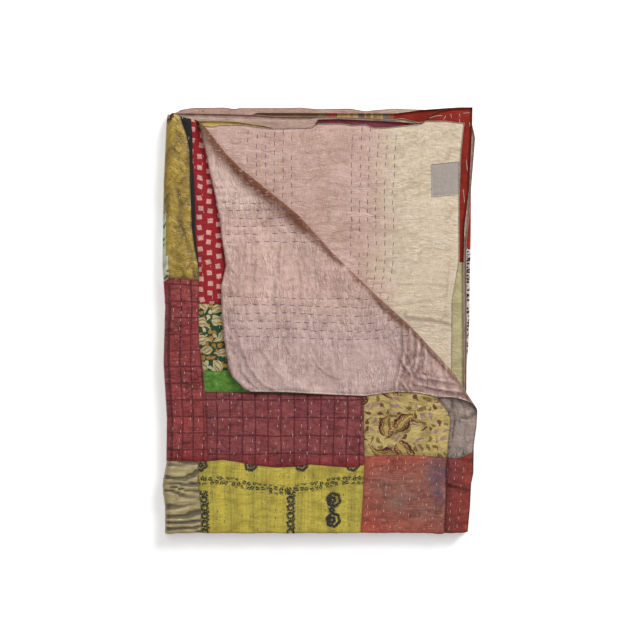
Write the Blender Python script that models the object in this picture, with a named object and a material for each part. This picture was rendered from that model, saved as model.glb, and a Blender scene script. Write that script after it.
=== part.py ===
"""A kantha quilt, folded to eight layers. One stitched patchwork sheet is folded in half along its
length and twice across, and the top layer's free corner is turned over. A bare woven label is sewn
near the free edge of the second layer. Metres, +Z up, origin at the bottom centre of the whole.

The sheet is drawn flat and folded in steps. While it is folded, x is 0 at the free side edge and
negative towards the fold at the left, y is 0 at the bottom fold, and the top layer lies at level 0."""

from math import pi, sqrt

import bmesh
import bpy
import numpy as np

# Driving dimensions
CLOTH = 0.0020  # thickness of the stitched sheet
LAYER_GAP = 0.0010  # air between one layer and the next
PITCH = CLOTH + LAYER_GAP
LAYERS = 8
PANEL_WIDTH = 0.5427  # flat run of the top layer, from its free edge to the left fold
INNER_WIDTH = 0.536  # flat run of the lower layers, from the left fold to the right fold
PANEL_LENGTH = 0.757  # flat run of every layer, from the bottom fold to the top edge
CREASE_HEIGHT = 0.2495  # where the turned corner's crease meets the free edge
CREASE_RADIUS = 0.0042  # the crease is soft and stands up
CREASE_SETTLES = 0.060  # how far from its crease the turned corner comes down
MARGIN_RADIUS = 0.0022  # the turned corner's outer margin is rolled under
MARGIN_CLEAR, MARGIN_SETTLES = 0.004, 0.050  # past the rolled strip, how soon the corner comes down
LOFT_LEFT, LOFT_BOTTOM = 0.10, 0.06  # the folds hold the layers apart more than the free edges
PLEAT_X, PLEAT_TOP, PLEAT_WIDTH, PLEAT_DEPTH = -0.045, 0.138, 0.012, 0.0016
LABEL = 0.0007  # the label's thickness
LABEL_CENTRE = (-0.0484, 0.6342)
LABEL_ACROSS, LABEL_UP = (0.0492, 0.0054), (-0.0009, 0.0587)
SEWN_GAP = 0.0003  # between the label and the sheet

MM = 0.001
# How far each layer's right edge is from x = 0: height up the side and shift, both in mm.
# Layers five to eight end in the right fold, so they share one line.
FREE_TOP = ((0, -8), (44, -4), (85, -2), (104, 2), (155, 3), (194, 8), (262, 11), (311, 10), (348, 2),
            (390, 0), (449, 7), (505, 5), (600, 0), (757, -2))
FREE_SECOND = ((0, -8), (110, -24), (289, -36), (419, -35), (494, -23), (618, -23), (701, -20), (757, -14))
FREE_THIRD = ((0, -12), (260, -14), (487, -15), (550, -13), (613, -5), (714, 0), (757, 1))
FREE_FOURTH = ((0, -12), (361, -9), (523, -10), (568, -5), (613, -2), (714, 6), (757, -4))
RIGHT_FOLD = ((0, -6), (260, -9), (325, -7), (415, -4), (505, 0), (757, 2))
RIGHT_EDGES = (FREE_TOP, FREE_SECOND, FREE_THIRD, FREE_FOURTH) + (RIGHT_FOLD,) * 4
# How far each layer's top edge is from its own line: x and shift, both in mm.
TOP_EDGES = (
    ((-551, -9), (-530, -10), (-486, -17), (0, -18)),
    ((-551, -24), (-479, -31), (-277, -29), (-211, -25), (-175, -34), (-76, -26), (-41, -20), (0, -22)),
    ((-551, -20), (-351, -20), (-277, -17), (-94, -12), (0, 4)),
    ((-551, -16), (-200, -18), (0, -4)),
    ((-551, -12), (-200, -16), (0, -8)),
    ((-551, -5), (-283, -12), (-175, -12), (0, -10)),
    ((-551, -2), (-380, -5), (-140, -5), (0, 2)),
    ((-551, 3), (-464, 6), (-429, 2), (-310, 4), (-194, 1), (0, 5)),
)
# The left fold's line, by height, and the bottom fold's, by x, with the shifts again in mm.
LEFT_FOLD = ((0, 1), (42, 1), (84, -4), (122, 3), (204, 4), (303, -2), (410, 1), (480, -4), (568, -3),
             (654, -1), (757, 4))
BOTTOM_FOLD = ((-551, 0), (-83, 0), (-57, -1), (0, 1))
# How far into the panel each of these shifts is felt, as a share of its size.
RIGHT_REACH, LEFT_REACH, TOP_REACH, BOTTOM_REACH = 0.75, 0.45, 0.6, 0.3
# The crease's sway out from a straight diagonal, by x, and the line along which the margin of the
# turned corner is rolled, by x as the top layer lies before it is turned. In mm.
CREASE_SWAY = ((-475, -2), (-436, -9), (-409, -9), (-383, -5), (-317, 5), (-245, 0), (-171, 2),
               (-117, 6), (-67, 4), (-13, -1))
CREASE_SWAY_REACH = 0.060
MARGIN_LINE = ((-500, 770), (-470, 741), (-440, 731), (-407, 721), (-371, 714), (-317, 702), (-254, 693),
               (-227, 690), (-189, 699), (-133, 696), (-66, 689), (-43, 685), (-25, 676), (-11, 661), (2, 643))

# Grid lines of the flat sheet: how many cells each run of it is cut into.
TOP_CELLS_ACROSS = 10
CELLS_ACROSS = 4
CELLS_ALONG = 10
SIDE_ARC_CELLS, END_ARC_CELLS, BOTTOM_ARC_CELLS, CREASE_ARC_CELLS, MARGIN_ARC_CELLS = 8, 6, 4, 6, 5
MARGIN_ROWS_RUN = 0.012  # the rolled rows' run where nothing is rolled
SNAP = 0.0006  # a vertex this close to a cut along the crease moves onto it


def arc_length(plies):
    """The run of cloth that a fold round so many plies takes up, at the middle of them."""
    return pi * plies / 2 * PITCH


SIDE_ARC, END_ARC, BOTTOM_ARC = arc_length(4), arc_length(2), arc_length(1)
TOP_LAYER_END = PANEL_LENGTH + TOP_EDGES[0][-1][1] * MM
END_FOLD_X = -(PANEL_WIDTH + SIDE_ARC + INNER_WIDTH)
SHEET_LEFT_X = 2 * END_FOLD_X - END_ARC
SHEET_LOW_Y = -(PANEL_LENGTH + BOTTOM_ARC)


def fold_under(run, level, at, plies):
    """Carries what lies before run = at round and under the rest, whose plies stay a pitch apart."""
    arc = arc_length(plies)
    centre = -(plies - 0.5) * PITCH
    radius = level - centre
    past = at - run
    angle = np.clip(past / arc, 0, 1) * pi
    folded = np.maximum(run, at) - radius * np.sin(angle) + np.maximum(past - arc, 0)
    return folded, centre + radius * np.cos(angle)


def table_at(table, place):
    """Reads a table of (place, shift) rows in mm at these places in metres."""
    rows = np.array(table) * MM
    return np.interp(place, rows[:, 0], rows[:, 1])


def layered(tables, place, level):
    """Reads one table for each layer, and blends them on the way from a layer to the next."""
    values = np.array([table_at(table, place) for table in tables])
    depth = np.clip(-level / PITCH, 0, LAYERS - 1)
    upper = np.minimum(depth.astype(int), LAYERS - 2)
    share = depth - upper
    each = np.arange(len(place))
    return values[upper, each] * (1 - share) + values[upper + 1, each] * share


def rise(value, start, end):
    """0 before start, 1 past end, and a smooth slope between them."""
    share = np.clip((value - start) / (end - start), 0, 1)
    return share * share * (3 - 2 * share)


def shift_edges(x, y, level):
    """Moves the edges of every layer to their own lines, less and less towards the middle."""
    moved_x = rise(x, -RIGHT_REACH * PANEL_WIDTH, 0) * layered(RIGHT_EDGES, y, level)
    moved_x += rise(-x, (1 - LEFT_REACH) * PANEL_WIDTH, PANEL_WIDTH) * table_at(LEFT_FOLD, y)
    moved_y = rise(y, (1 - TOP_REACH) * PANEL_LENGTH, PANEL_LENGTH) * layered(TOP_EDGES, x, level)
    moved_y += rise(-y, -BOTTOM_REACH * PANEL_LENGTH, 0) * table_at(BOTTOM_FOLD, x)
    return x + moved_x, y + moved_y


def roll_margin(x, y):
    """Rolls the margin back over the top layer. Gives the new y, how high above the layer it lies,
    and how far the turned corner has to stay up for it."""
    past = y - table_at(MARGIN_LINE, x)
    strip = TOP_LAYER_END - table_at(MARGIN_LINE, x)
    angle = np.clip(past / MARGIN_RADIUS, 0, pi)
    rolled = y - np.maximum(past, 0) + MARGIN_RADIUS * np.sin(angle)
    rolled -= np.maximum(past - pi * MARGIN_RADIUS, 0)
    clear = strip + MARGIN_CLEAR
    share = np.clip(strip / (pi * MARGIN_RADIUS), 0, 1) * (1 - rise(-past, clear, clear + MARGIN_SETTLES))
    return rolled, MARGIN_RADIUS * (1 - np.cos(angle)), 2 * MARGIN_RADIUS * share


def turn_corner(x, y, level, above, kept_up):
    """Turns the top layer over along the diagonal crease, and lets it come down on itself."""
    past = (x + y - CREASE_HEIGHT) / sqrt(2) + CREASE_RADIUS + CLOTH / 2
    angle = np.clip(past / CREASE_RADIUS, 0, pi)
    back = np.maximum(past - pi * CREASE_RADIUS, 0)
    step = ((CREASE_RADIUS - above) * np.sin(angle) - back - np.maximum(past, 0)) / sqrt(2)
    down = (2 * CREASE_RADIUS - PITCH - kept_up) * rise(back, 0, CREASE_SETTLES)
    return x + step, y + step, level + CREASE_RADIUS - (CREASE_RADIUS - above) * np.cos(angle) - down


def sway_crease(x, y):
    """Moves the cloth near the crease in and out, so that the crease isn't a ruled line."""
    from_crease = (x + y - CREASE_HEIGHT) / sqrt(2)
    along = x - from_crease / sqrt(2)
    out = table_at(CREASE_SWAY, along) * np.exp(-((from_crease / CREASE_SWAY_REACH) ** 2)) / sqrt(2)
    return x + out, y + out


def loft(x, y):
    """How far apart the layers lie, as a share of the pitch."""
    leftward = np.clip(-x / PANEL_WIDTH, 0, 1)
    downward = 1 - np.clip(y / PANEL_LENGTH, 0, 1)
    return 1 + LOFT_LEFT * leftward + LOFT_BOTTOM * downward


def height(x, y, level):
    """The height above the ground of a level, where the lowest layer lies flat on the ground."""
    return CLOTH / 2 + (level + (LAYERS - 1) * PITCH) * loft(x, y)


def spaced(*runs):
    """Grid lines for runs of (start, end, cells) that follow one another."""
    lines = [runs[0][0]]
    for start, end, cells in runs:
        lines += [start + (end - start) * (i + 1) / cells for i in range(cells)]
    return lines


def flat_lines():
    """The grid lines across and along the flat sheet, close together where it will bend."""
    side = -PANEL_WIDTH
    side_end = side - SIDE_ARC
    far_side = SHEET_LEFT_X - side_end
    far_side_end = SHEET_LEFT_X - side
    across = spaced(
        (0, PLEAT_X + PLEAT_WIDTH, 1),
        (PLEAT_X + PLEAT_WIDTH, PLEAT_X - PLEAT_WIDTH, 2),
        (PLEAT_X - PLEAT_WIDTH, side, TOP_CELLS_ACROSS),
        (side, side_end, SIDE_ARC_CELLS),
        (side_end, END_FOLD_X, CELLS_ACROSS),
        (END_FOLD_X, END_FOLD_X - END_ARC, END_ARC_CELLS),
        (END_FOLD_X - END_ARC, far_side, CELLS_ACROSS),
        (far_side, far_side_end, SIDE_ARC_CELLS),
        (far_side_end, SHEET_LEFT_X, CELLS_ACROSS),
    )
    margin = PANEL_LENGTH - MARGIN_ROWS_RUN
    along = spaced(
        (PANEL_LENGTH, margin, MARGIN_ARC_CELLS + 1),
        (margin, margin - MARGIN_SETTLES, 2),
        (margin - MARGIN_SETTLES, 0, CELLS_ALONG),
        (0, -BOTTOM_ARC, BOTTOM_ARC_CELLS),
        (-BOTTOM_ARC, MARGIN_SETTLES - BOTTOM_ARC - margin, CELLS_ALONG),
        (MARGIN_SETTLES - BOTTOM_ARC - margin, SHEET_LOW_Y, 1),
    )
    return across, along


def follow_margin(grid):
    """Slides the rows of the top layer near its top edge along, so that they run with the margin's line."""
    for column in grid:
        x = column[0].co.x
        if x < 0.001 - PANEL_WIDTH or column[0].co.z < 0:
            continue
        line = min(float(table_at(MARGIN_LINE, x)), column[0].co.y - MARGIN_ROWS_RUN)
        strip = column[0].co.y - line
        arc = min(pi * MARGIN_RADIUS, 0.85 * strip)
        rows = [line + arc * (1 - i / MARGIN_ARC_CELLS) for i in range(MARGIN_ARC_CELLS + 1)]
        rows += [line - strip - MARGIN_CLEAR, line - strip - MARGIN_CLEAR - MARGIN_SETTLES]
        for vert, y in zip(column[1:], rows):
            vert.co.y = y
        below = column[len(rows) + 1 : len(rows) + CELLS_ALONG]
        for i, vert in enumerate(below):
            vert.co.y = rows[-1] * (1 - (i + 1) / CELLS_ALONG)


def flat_sheet():
    """The sheet as a grid of faces, and the faces of its top layer."""
    across, along = flat_lines()
    mesh = bmesh.new()
    grid = [[mesh.verts.new((x, y, 0)) for y in along] for x in across]
    top_faces = []
    for column, (left, right) in enumerate(zip(grid[1:], grid)):
        for row in range(len(along) - 1):
            face = mesh.faces.new((left[row], left[row + 1], right[row + 1], right[row]))
            if across[column + 1] > -PANEL_WIDTH - SIDE_ARC / 2 and along[row + 1] > -BOTTOM_ARC / 2:
                top_faces.append(face)
    return mesh, grid, top_faces


def read(verts):
    return np.array([vert.co[:] for vert in verts]).T


def write(verts, x, y, z):
    for vert, place in zip(verts, zip(x, y, z)):
        vert.co = place


def fold_sheet(mesh):
    """The three folds: in half at the bottom, in half at the right and in half at the left."""
    x, y, level = read(mesh.verts)
    y, level = fold_under(y, level, 0, 1)
    x, level = fold_under(x, level, END_FOLD_X, 2)
    x, level = fold_under(x, level, -PANEL_WIDTH, 4)
    x, y = shift_edges(x, y, level)
    write(mesh.verts, x, y, level)


def cut_along_crease(mesh, faces):
    """Cuts the top layer's faces along lines that run with the crease, where it bends."""
    start = CREASE_HEIGHT - (CREASE_RADIUS + CLOTH / 2) * sqrt(2)
    arc = pi * CREASE_RADIUS * sqrt(2)
    settles = CREASE_SETTLES * sqrt(2)
    lines = [start + arc * i / CREASE_ARC_CELLS for i in range(CREASE_ARC_CELLS + 1)]
    lines += [start + arc + settles * share for share in (0.3, 0.6, 1)]
    for line in lines:
        edges = {edge for face in faces for edge in face.edges}
        verts = {vert for face in faces for vert in face.verts}
        cut = bmesh.ops.bisect_plane(
            mesh, geom=[*faces, *edges, *verts], plane_co=(0, line, 0), plane_no=(1, 1, 0),
            dist=SNAP, use_snap_center=True
        )
        faces = [item for item in cut["geom"] if isinstance(item, bmesh.types.BMFace)]
    return faces


def shape_top(mesh, faces):
    """The turned corner, its rolled margin and the pleat, which only the top layer has."""
    verts = list({vert for face in faces for vert in face.verts})
    x, y, level = read(verts)
    beside = np.abs(x - PLEAT_X) / PLEAT_WIDTH
    raised = rise(beside, 0, 1) * (1 - rise(beside, 1, 4)) * rise(-x, 0, PLEAT_WIDTH)
    raised *= rise(y, 0, 0.4 * PLEAT_TOP) * (1 - rise(y, PLEAT_TOP, 1.5 * PLEAT_TOP))
    y, above, kept_up = roll_margin(x, y)
    x, y, level = turn_corner(x, y, level + PLEAT_DEPTH * raised, above, kept_up)
    x, y = sway_crease(x, y)
    write(verts, x, y, level)


def material(name, colour, roughness):
    cloth = bpy.data.materials.new(name)
    cloth.use_nodes = True
    shader = cloth.node_tree.nodes["Principled BSDF"]
    shader.inputs["Base Color"].default_value = (*colour, 1)
    shader.inputs["Roughness"].default_value = roughness
    shader.inputs["Metallic"].default_value = 0
    return cloth


def add_cloth(name, mesh, thickness, look):
    """Makes an object of the middle surface, thickened evenly to both sides."""
    data = bpy.data.meshes.new(name)
    bmesh.ops.triangulate(mesh, faces=mesh.faces[:])
    mesh.to_mesh(data)
    mesh.free()
    data.materials.append(look)
    data.shade_smooth()
    cloth = bpy.data.objects.new(name, data)
    bpy.context.scene.collection.objects.link(cloth)
    solid = cloth.modifiers.new("Thickness", "SOLIDIFY")
    solid.thickness = thickness
    solid.offset = 0
    return cloth


def build_quilt():
    mesh, grid, faces = flat_sheet()
    fold_sheet(mesh)
    follow_margin(grid)
    faces = cut_along_crease(mesh, faces)
    shape_top(mesh, faces)
    x, y, level = read(mesh.verts)
    write(mesh.verts, x, y, height(x, y, level))
    return add_cloth("quilt", mesh, CLOTH, material("patched cotton", (0.30, 0.12, 0.09), 0.9))


def build_label():
    """A small flat piece on the back of the second layer."""
    mesh = bmesh.new()
    centre, across, up = (np.array(pair) for pair in (LABEL_CENTRE, LABEL_ACROSS, LABEL_UP))
    corners = [centre + across * i / 2 + up * j / 2 for i, j in ((-1, -1), (1, -1), (1, 1), (-1, 1))]
    x, y = np.array(corners).T
    z = height(x, y, -PITCH) + CLOTH / 2 + SEWN_GAP + LABEL / 2
    mesh.faces.new([mesh.verts.new(place) for place in zip(x, y, z)])
    return add_cloth("label", mesh, LABEL, material("woven tape", (0.33, 0.29, 0.26), 0.8))


def centre_on_origin(pieces, main):
    """Puts the bottom centre of the main piece's box at the origin."""
    bpy.context.view_layer.update()
    shape = main.evaluated_get(bpy.context.evaluated_depsgraph_get())
    corners = np.array([corner[:] for corner in shape.bound_box])
    low, high = corners.min(axis=0), corners.max(axis=0)
    for piece in pieces:
        piece.location = (-(low[0] + high[0]) / 2, -(low[1] + high[1]) / 2, -low[2])


for old in list(bpy.data.objects):
    bpy.data.objects.remove(old)
quilt = build_quilt()
label = build_label()
centre_on_origin((quilt, label), quilt)
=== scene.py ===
"""A kantha quilt, folded to eight layers with its top layer's free corner turned over.

Flat places on the sheet are in metres: across is 0 at the free side edge and negative towards the left
fold, along is 0 at the bottom fold. Seams, folds and threads that were measured on the folded quilt are
given on a board that is ruled every 1.8 mm, with columns counted rightwards and rows downwards."""

from functools import partial, reduce
from math import pi, sqrt

import bpy
import numpy as np
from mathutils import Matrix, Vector


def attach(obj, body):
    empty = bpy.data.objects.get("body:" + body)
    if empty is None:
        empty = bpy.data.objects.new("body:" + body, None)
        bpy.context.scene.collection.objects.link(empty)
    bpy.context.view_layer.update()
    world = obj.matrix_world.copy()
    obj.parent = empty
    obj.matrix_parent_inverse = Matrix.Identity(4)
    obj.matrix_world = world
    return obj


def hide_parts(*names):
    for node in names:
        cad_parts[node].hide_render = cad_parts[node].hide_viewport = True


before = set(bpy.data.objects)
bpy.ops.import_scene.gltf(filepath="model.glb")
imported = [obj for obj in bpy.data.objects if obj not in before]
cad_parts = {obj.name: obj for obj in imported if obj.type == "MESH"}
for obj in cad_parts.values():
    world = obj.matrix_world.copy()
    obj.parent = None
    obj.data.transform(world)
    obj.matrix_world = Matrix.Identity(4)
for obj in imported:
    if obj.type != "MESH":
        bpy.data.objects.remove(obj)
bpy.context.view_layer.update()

# ---- The quilt --------------------------------------------------------------------------------
# One sheet of patched silk, satin and printed cotton on a plain pink back, run through with rows of
# stitches. It is folded in half along its length and twice across, so all eight layers are the same
# closed sheet, 2 mm thick, with 1 mm of air between one layer and the next.

MM = 0.001
CLOTH = 0.0020  # how thick the sheet is
PITCH = CLOTH + 0.0010  # from one layer to the next
LAYERS = 8
PANEL_WIDTH, INNER_WIDTH, PANEL_LENGTH = 0.5427, 0.536, 0.757
# The diagonal crease: where it meets the free edge, its radius, and how far the corner takes to lie down.
CREASE_HEIGHT, CREASE_RADIUS, CREASE_SETTLES = 0.2495, 0.0042, 0.060
# The margin that is rolled under the turned corner, and how it is kept clear of the layer below.
MARGIN_RADIUS, MARGIN_CLEAR, MARGIN_SETTLES = 0.0022, 0.004, 0.050
LOFT_LEFT, LOFT_BOTTOM = 0.10, 0.06  # how much thicker the pile is at its two folded sides
# The pleat beside the free edge: where it is across, its upper end, and how wide and deep it is.
PLEAT_X, PLEAT_TOP, PLEAT_WIDTH, PLEAT_DEPTH = -0.045, 0.138, 0.012, 0.0016
TO_ORIGIN = np.array((0.27406, -0.38076))  # from the folding's own zero to the frame's upright axis

# How far each layer's right edge is from the free edge's line: height and shift, both in mm.
FREE_TOP = ((0, -8), (44, -4), (85, -2), (104, 2), (155, 3), (194, 8), (236, 10), (250, 6), (262, 4),
            (285, 6), (311, 10), (348, 2), (390, 0), (449, 7), (505, 5), (600, 0), (757, -2))
FREE_SECOND = ((0, -8), (110, -24), (289, -36), (419, -35), (494, -23), (618, -23), (701, -20), (757, -14))
FREE_THIRD = ((0, -12), (260, -14), (487, -15), (550, -13), (613, -5), (714, 0), (757, 1))
FREE_FOURTH = ((0, -12), (361, -9), (523, -10), (568, -5), (613, -2), (714, 6), (757, -4))
RIGHT_FOLD = ((0, -6), (260, -9), (303, -7), (334, -4), (378, -2), (415, -2), (505, 0), (757, 2))
RIGHT_EDGES = (FREE_TOP, FREE_SECOND, FREE_THIRD, FREE_FOURTH) + (RIGHT_FOLD,) * 4
# How far each layer's top edge is from its own line: place across and shift, both in mm.
TOP_EDGES = (
    ((-551, -2), (-538, -3), (-530, -8), (-520, -11), (-486, -17), (0, -18)),
    ((-551, -24), (-500, -26), (-468, -28), (-454, -25), (-418, -25), (-391, -28), (-364, -32), (-286, -30),
     (-274, -23), (-229, -23), (-205, -26), (-184, -24), (-169, -30), (-144, -30), (-94, -25), (-76, -23),
     (-71, -18), (-35, -18), (-16, -20), (0, -22)),
    ((-551, -18), (-454, -18), (-427, -19), (-400, -23), (-373, -27), (-354, -32), (-340, -34), (-286, -34),
     (-279, -15), (-240, -14), (-157, -18), (-130, -20), (-103, -22), (-88, -21), (-80, -12), (-62, 0),
     (-40, 5), (0, 7)),
    ((-551, -9), (-500, -8), (-440, -11), (-380, -13), (-300, -14), (-274, -12), (-229, -12), (-157, -16),
     (-100, -21), (-50, -15), (0, -4)),
    ((-551, -10), (-440, -13), (-300, -16), (-229, -14), (-157, -17), (-100, -22), (-50, -16), (0, -5)),
    ((-551, -3), (-510, -3), (-418, -5), (-389, -6), (-354, -9), (-229, -10), (-184, -12), (-157, -14),
     (-139, -14), (-126, -12), (-108, -17), (-94, -20), (-80, -22), (-50, -14), (0, -2)),
    ((-551, -6), (-400, -6), (-389, -2), (-137, -3), (-121, -1), (-94, 3), (-40, 7), (-22, 8), (0, 8)),
    ((-551, -2), (-538, -2), (-533, 3), (-510, 7), (-450, 8), (-430, 5), (-422, 7), (-330, 7), (-310, 8),
     (-280, 5), (-220, 6), (-192, 1), (-180, 3), (-139, 6), (-121, 5), (-85, 4), (0, 4)),
)
# The same for the left fold, by height, and for the bottom fold, by place across.
LEFT_FOLD = ((0, 1), (42, 1), (84, -4), (122, 3), (204, 4), (303, -2), (410, 1), (480, -4), (568, -3),
             (654, -1), (757, 4))
BOTTOM_FOLD = ((-551, 0), (-83, 0), (-57, -1), (0, 1))
# How far in from its edge each of these shifts reaches, as a share of the panel.
RIGHT_REACH, LEFT_REACH, TOP_REACH, BOTTOM_REACH = 0.75, 0.45, 0.6, 0.3
# How far the crease is moved out along its length: place across and shift, both in mm.
CREASE_SWAY = ((-475, -2), (-436, -9), (-409, -9), (-383, -5), (-317, 5), (-245, 0), (-171, 2),
               (-117, 6), (-67, 4), (-13, -1))
CREASE_SWAY_REACH = 0.060
# The crease's end at the free edge sags by this much, over this reach, and along this part of the crease.
TIP_DROOP, TIP_REACH, TIP_FROM, TIP_TO = 0.017, 0.034, -0.034, 0.014
# Where the margin is rolled: place across and along, both in mm.
MARGIN_LINE = (
    (-500, 760), (-470, 733), (-440, 724), (-407, 717), (-371, 711), (-317, 702), (-254, 693), (-227, 690),
    (-189, 699), (-133, 696), (-66, 689), (-43, 685), (-25, 676), (-11, 661), (2, 643),
)


def rise(value, start, end):
    """0 before start, 1 past end, and a smooth slope between them."""
    share = np.clip((value - start) / (end - start), 0, 1)
    return share * share * (3 - 2 * share)


def bell(away, width):
    """1 where away is 0, a third at the width, and next to nothing at twice the width."""
    return np.exp(-((away / width) ** 2))


def arc_length(plies):
    """The run of cloth that a fold round so many plies takes up, at the middle of them."""
    return pi * plies / 2 * PITCH


SIDE_ARC, END_ARC, BOTTOM_ARC = arc_length(4), arc_length(2), arc_length(1)
TOP_LAYER_END = PANEL_LENGTH + TOP_EDGES[0][-1][1] * MM
END_FOLD_X = -(PANEL_WIDTH + SIDE_ARC + INNER_WIDTH)
SHEET_LEFT_X = 2 * END_FOLD_X - END_ARC
SHEET_LOW_Y = -(PANEL_LENGTH + BOTTOM_ARC)
RULE = 0.0018  # the board's ruling
BOARD_FREE_EDGE, BOARD_BOTTOM_FOLD = 472, 530.6  # the column and row that are 0 across and along


def from_board(points):
    """Columns and rows of the board as metres across and along the folded quilt."""
    return (np.array(points, float) - (BOARD_FREE_EDGE, BOARD_BOTTOM_FOLD)) * (RULE, -RULE)


def fold_under(run, level, at, plies):
    """Carries what lies before run = at round and under the rest, whose plies stay a pitch apart."""
    arc = arc_length(plies)
    centre = -(plies - 0.5) * PITCH
    radius = level - centre
    past = at - run
    angle = np.clip(past / arc, 0, 1) * pi
    folded = np.maximum(run, at) - radius * np.sin(angle) + np.maximum(past - arc, 0)
    return folded, centre + radius * np.cos(angle)


def table_at(table, place):
    """Reads a table of (place, shift) rows in mm at these places in metres."""
    return np.interp(place, *(np.array(table) * MM).T)


def layered(tables, place, level):
    """Reads one table for each layer, and blends them on the way from a layer to the next."""
    values = np.array([table_at(table, place) for table in tables])
    depth = np.clip(-level / PITCH, 0, LAYERS - 1)
    upper = np.minimum(depth.astype(int), LAYERS - 2)
    share = depth - upper
    each = np.arange(len(place))
    return values[upper, each] * (1 - share) + values[upper + 1, each] * share


def lay(x, y):
    """Where flat places lie once the sheet is folded, before the corner is turned: across, along, level.
    The edges of every layer are moved to their own lines, less and less towards the middle."""
    y, level = fold_under(y, np.zeros_like(y), 0, 1)
    x, level = fold_under(x, level, END_FOLD_X, 2)
    x, level = fold_under(x, level, -PANEL_WIDTH, 4)
    across = rise(x, -RIGHT_REACH * PANEL_WIDTH, 0) * layered(RIGHT_EDGES, y, level)
    across += rise(-x, (1 - LEFT_REACH) * PANEL_WIDTH, PANEL_WIDTH) * table_at(LEFT_FOLD, y)
    along = rise(y, (1 - TOP_REACH) * PANEL_LENGTH, PANEL_LENGTH) * layered(TOP_EDGES, x, level)
    along += rise(-y, -BOTTOM_REACH * PANEL_LENGTH, 0) * table_at(BOTTOM_FOLD, x)
    return x + across, y + along, level


def past_crease(across, along):
    """How far beyond the diagonal crease a place is, or below 0 before it."""
    return (across + along - CREASE_HEIGHT) / sqrt(2)


def roll_margin(x, y):
    """Rolls the margin back over the top layer before its corner is turned."""
    past = y - table_at(MARGIN_LINE, x)
    strip = TOP_LAYER_END - table_at(MARGIN_LINE, x)
    angle = np.clip(past / MARGIN_RADIUS, 0, pi)
    rolled = y - np.maximum(past, 0) + MARGIN_RADIUS * np.sin(angle)
    rolled -= np.maximum(past - pi * MARGIN_RADIUS, 0)
    clear = strip + MARGIN_CLEAR
    share = np.clip(strip / (pi * MARGIN_RADIUS), 0, 1) * (1 - rise(-past, clear, clear + MARGIN_SETTLES))
    return rolled, MARGIN_RADIUS * (1 - np.cos(angle)), 2 * MARGIN_RADIUS * share


def turn_corner(x, y, level):
    """Rolls the top layer's margin, turns its corner over along the diagonal crease, and lets it come down
    on itself. The crease isn't a ruled line: the cloth by it is moved in and out, and its end sags."""
    y, above, kept_up = roll_margin(x, y)
    past = past_crease(x, y) + CREASE_RADIUS + CLOTH / 2
    angle = np.clip(past / CREASE_RADIUS, 0, pi)
    back = np.maximum(past - pi * CREASE_RADIUS, 0)
    step = ((CREASE_RADIUS - above) * np.sin(angle) - back - np.maximum(past, 0)) / sqrt(2)
    down = (2 * CREASE_RADIUS - PITCH - kept_up) * rise(back, 0, CREASE_SETTLES)
    x, y = x + step, y + step
    level = level + CREASE_RADIUS - (CREASE_RADIUS - above) * np.cos(angle) - down
    from_crease = past_crease(x, y)
    beside = x - from_crease / sqrt(2)
    out = table_at(CREASE_SWAY, beside) * bell(from_crease, CREASE_SWAY_REACH) / sqrt(2)
    droop = TIP_DROOP * rise(beside, TIP_FROM, TIP_TO) * bell(from_crease, TIP_REACH)
    return x + out, y + out - droop, level


def on_top(x, y):
    """Whether flat places are on the top layer."""
    return (x > -PANEL_WIDTH - SIDE_ARC / 2) & (y > -BOTTOM_ARC / 2)


def middle(x, y):
    """Where the middle of the cloth is at these flat places, in the frame that the folding uses."""
    across, along, level = lay(x, y)
    top = on_top(x, y)
    a, b = across[top], along[top]
    beside = np.abs(a - PLEAT_X) / PLEAT_WIDTH
    raised = rise(beside, 0, 1) * (1 - rise(beside, 1, 4)) * rise(-a, 0, PLEAT_WIDTH)
    raised *= rise(b, 0, 0.4 * PLEAT_TOP) * (1 - rise(b, PLEAT_TOP, 1.5 * PLEAT_TOP))
    across[top], along[top], level[top] = turn_corner(a, b, level[top] + PLEAT_DEPTH * raised)
    loft = 1 + LOFT_LEFT * np.clip(-across / PANEL_WIDTH, 0, 1)
    loft += LOFT_BOTTOM * (1 - np.clip(along / PANEL_LENGTH, 0, 1))
    return np.array([across, along, CLOTH / 2 + (level + (LAYERS - 1) * PITCH) * loft])


def facing(x, y, step=0.0003):
    """The way that the patched side faces at these flat places."""
    across = middle(x + step, y) - middle(x - step, y)
    along = middle(x, y + step) - middle(x, y - step)
    normal = np.cross(across, along, axis=0)
    return normal / np.maximum(np.linalg.norm(normal, axis=0), 1e-12)


# Seams between the patches of the top layer, on the board. Each runs down or across.
OLIVE_SIDE = ((180, 100), (181.5, 118), (187, 134), (189.8, 150), (190.5, 185), (191.5, 225), (194, 245),
              (197.5, 262), (199, 279))
RED_SIDE = ((191, 100), (192, 119), (193, 135), (193.5, 160), (195, 185), (195.7, 235), (198.7, 262),
            (199, 279))
COLUMN_SIDE = ((199, 279), (198.5, 303), (199, 340), (203, 369), (204.5, 391), (206.5, 420), (207.5, 460.4))
GOLD_SIDE = ((198.5, 460.8), (199, 485), (201, 505), (202, 532), (203, 570))
PLAID_SIDE = ((363.5, 370), (363.5, 395), (364, 430), (364.5, 456), (364, 464))
YELLOW_SIDE = ((364, 464), (363.5, 480), (362.5, 500), (360.5, 532), (360, 570))
GREY_SIDE = ((436, 380), (438.4, 398), (444, 405), (450.4, 414.6), (450.4, 421), (449.3, 432), (448, 444),
             (447, 456.5))
PLEAT_SIDE = ((447, 456.5), (445.9, 475), (446.2, 493.5), (445.3, 512), (444.7, 532), (444.7, 570))
OLIVE_FOOT = ((100, 277), (169, 277), (184, 278), (199, 279))
RED_FOOT = ((198.5, 303), (229, 303), (300, 303))
PRINT_FOOT = ((203, 369), (215, 370.5), (229, 369), (364, 369))
GREEN_FOOT = ((204.5, 391), (253, 391.5), (300, 393), (345, 395), (363.5, 395.5))
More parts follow.
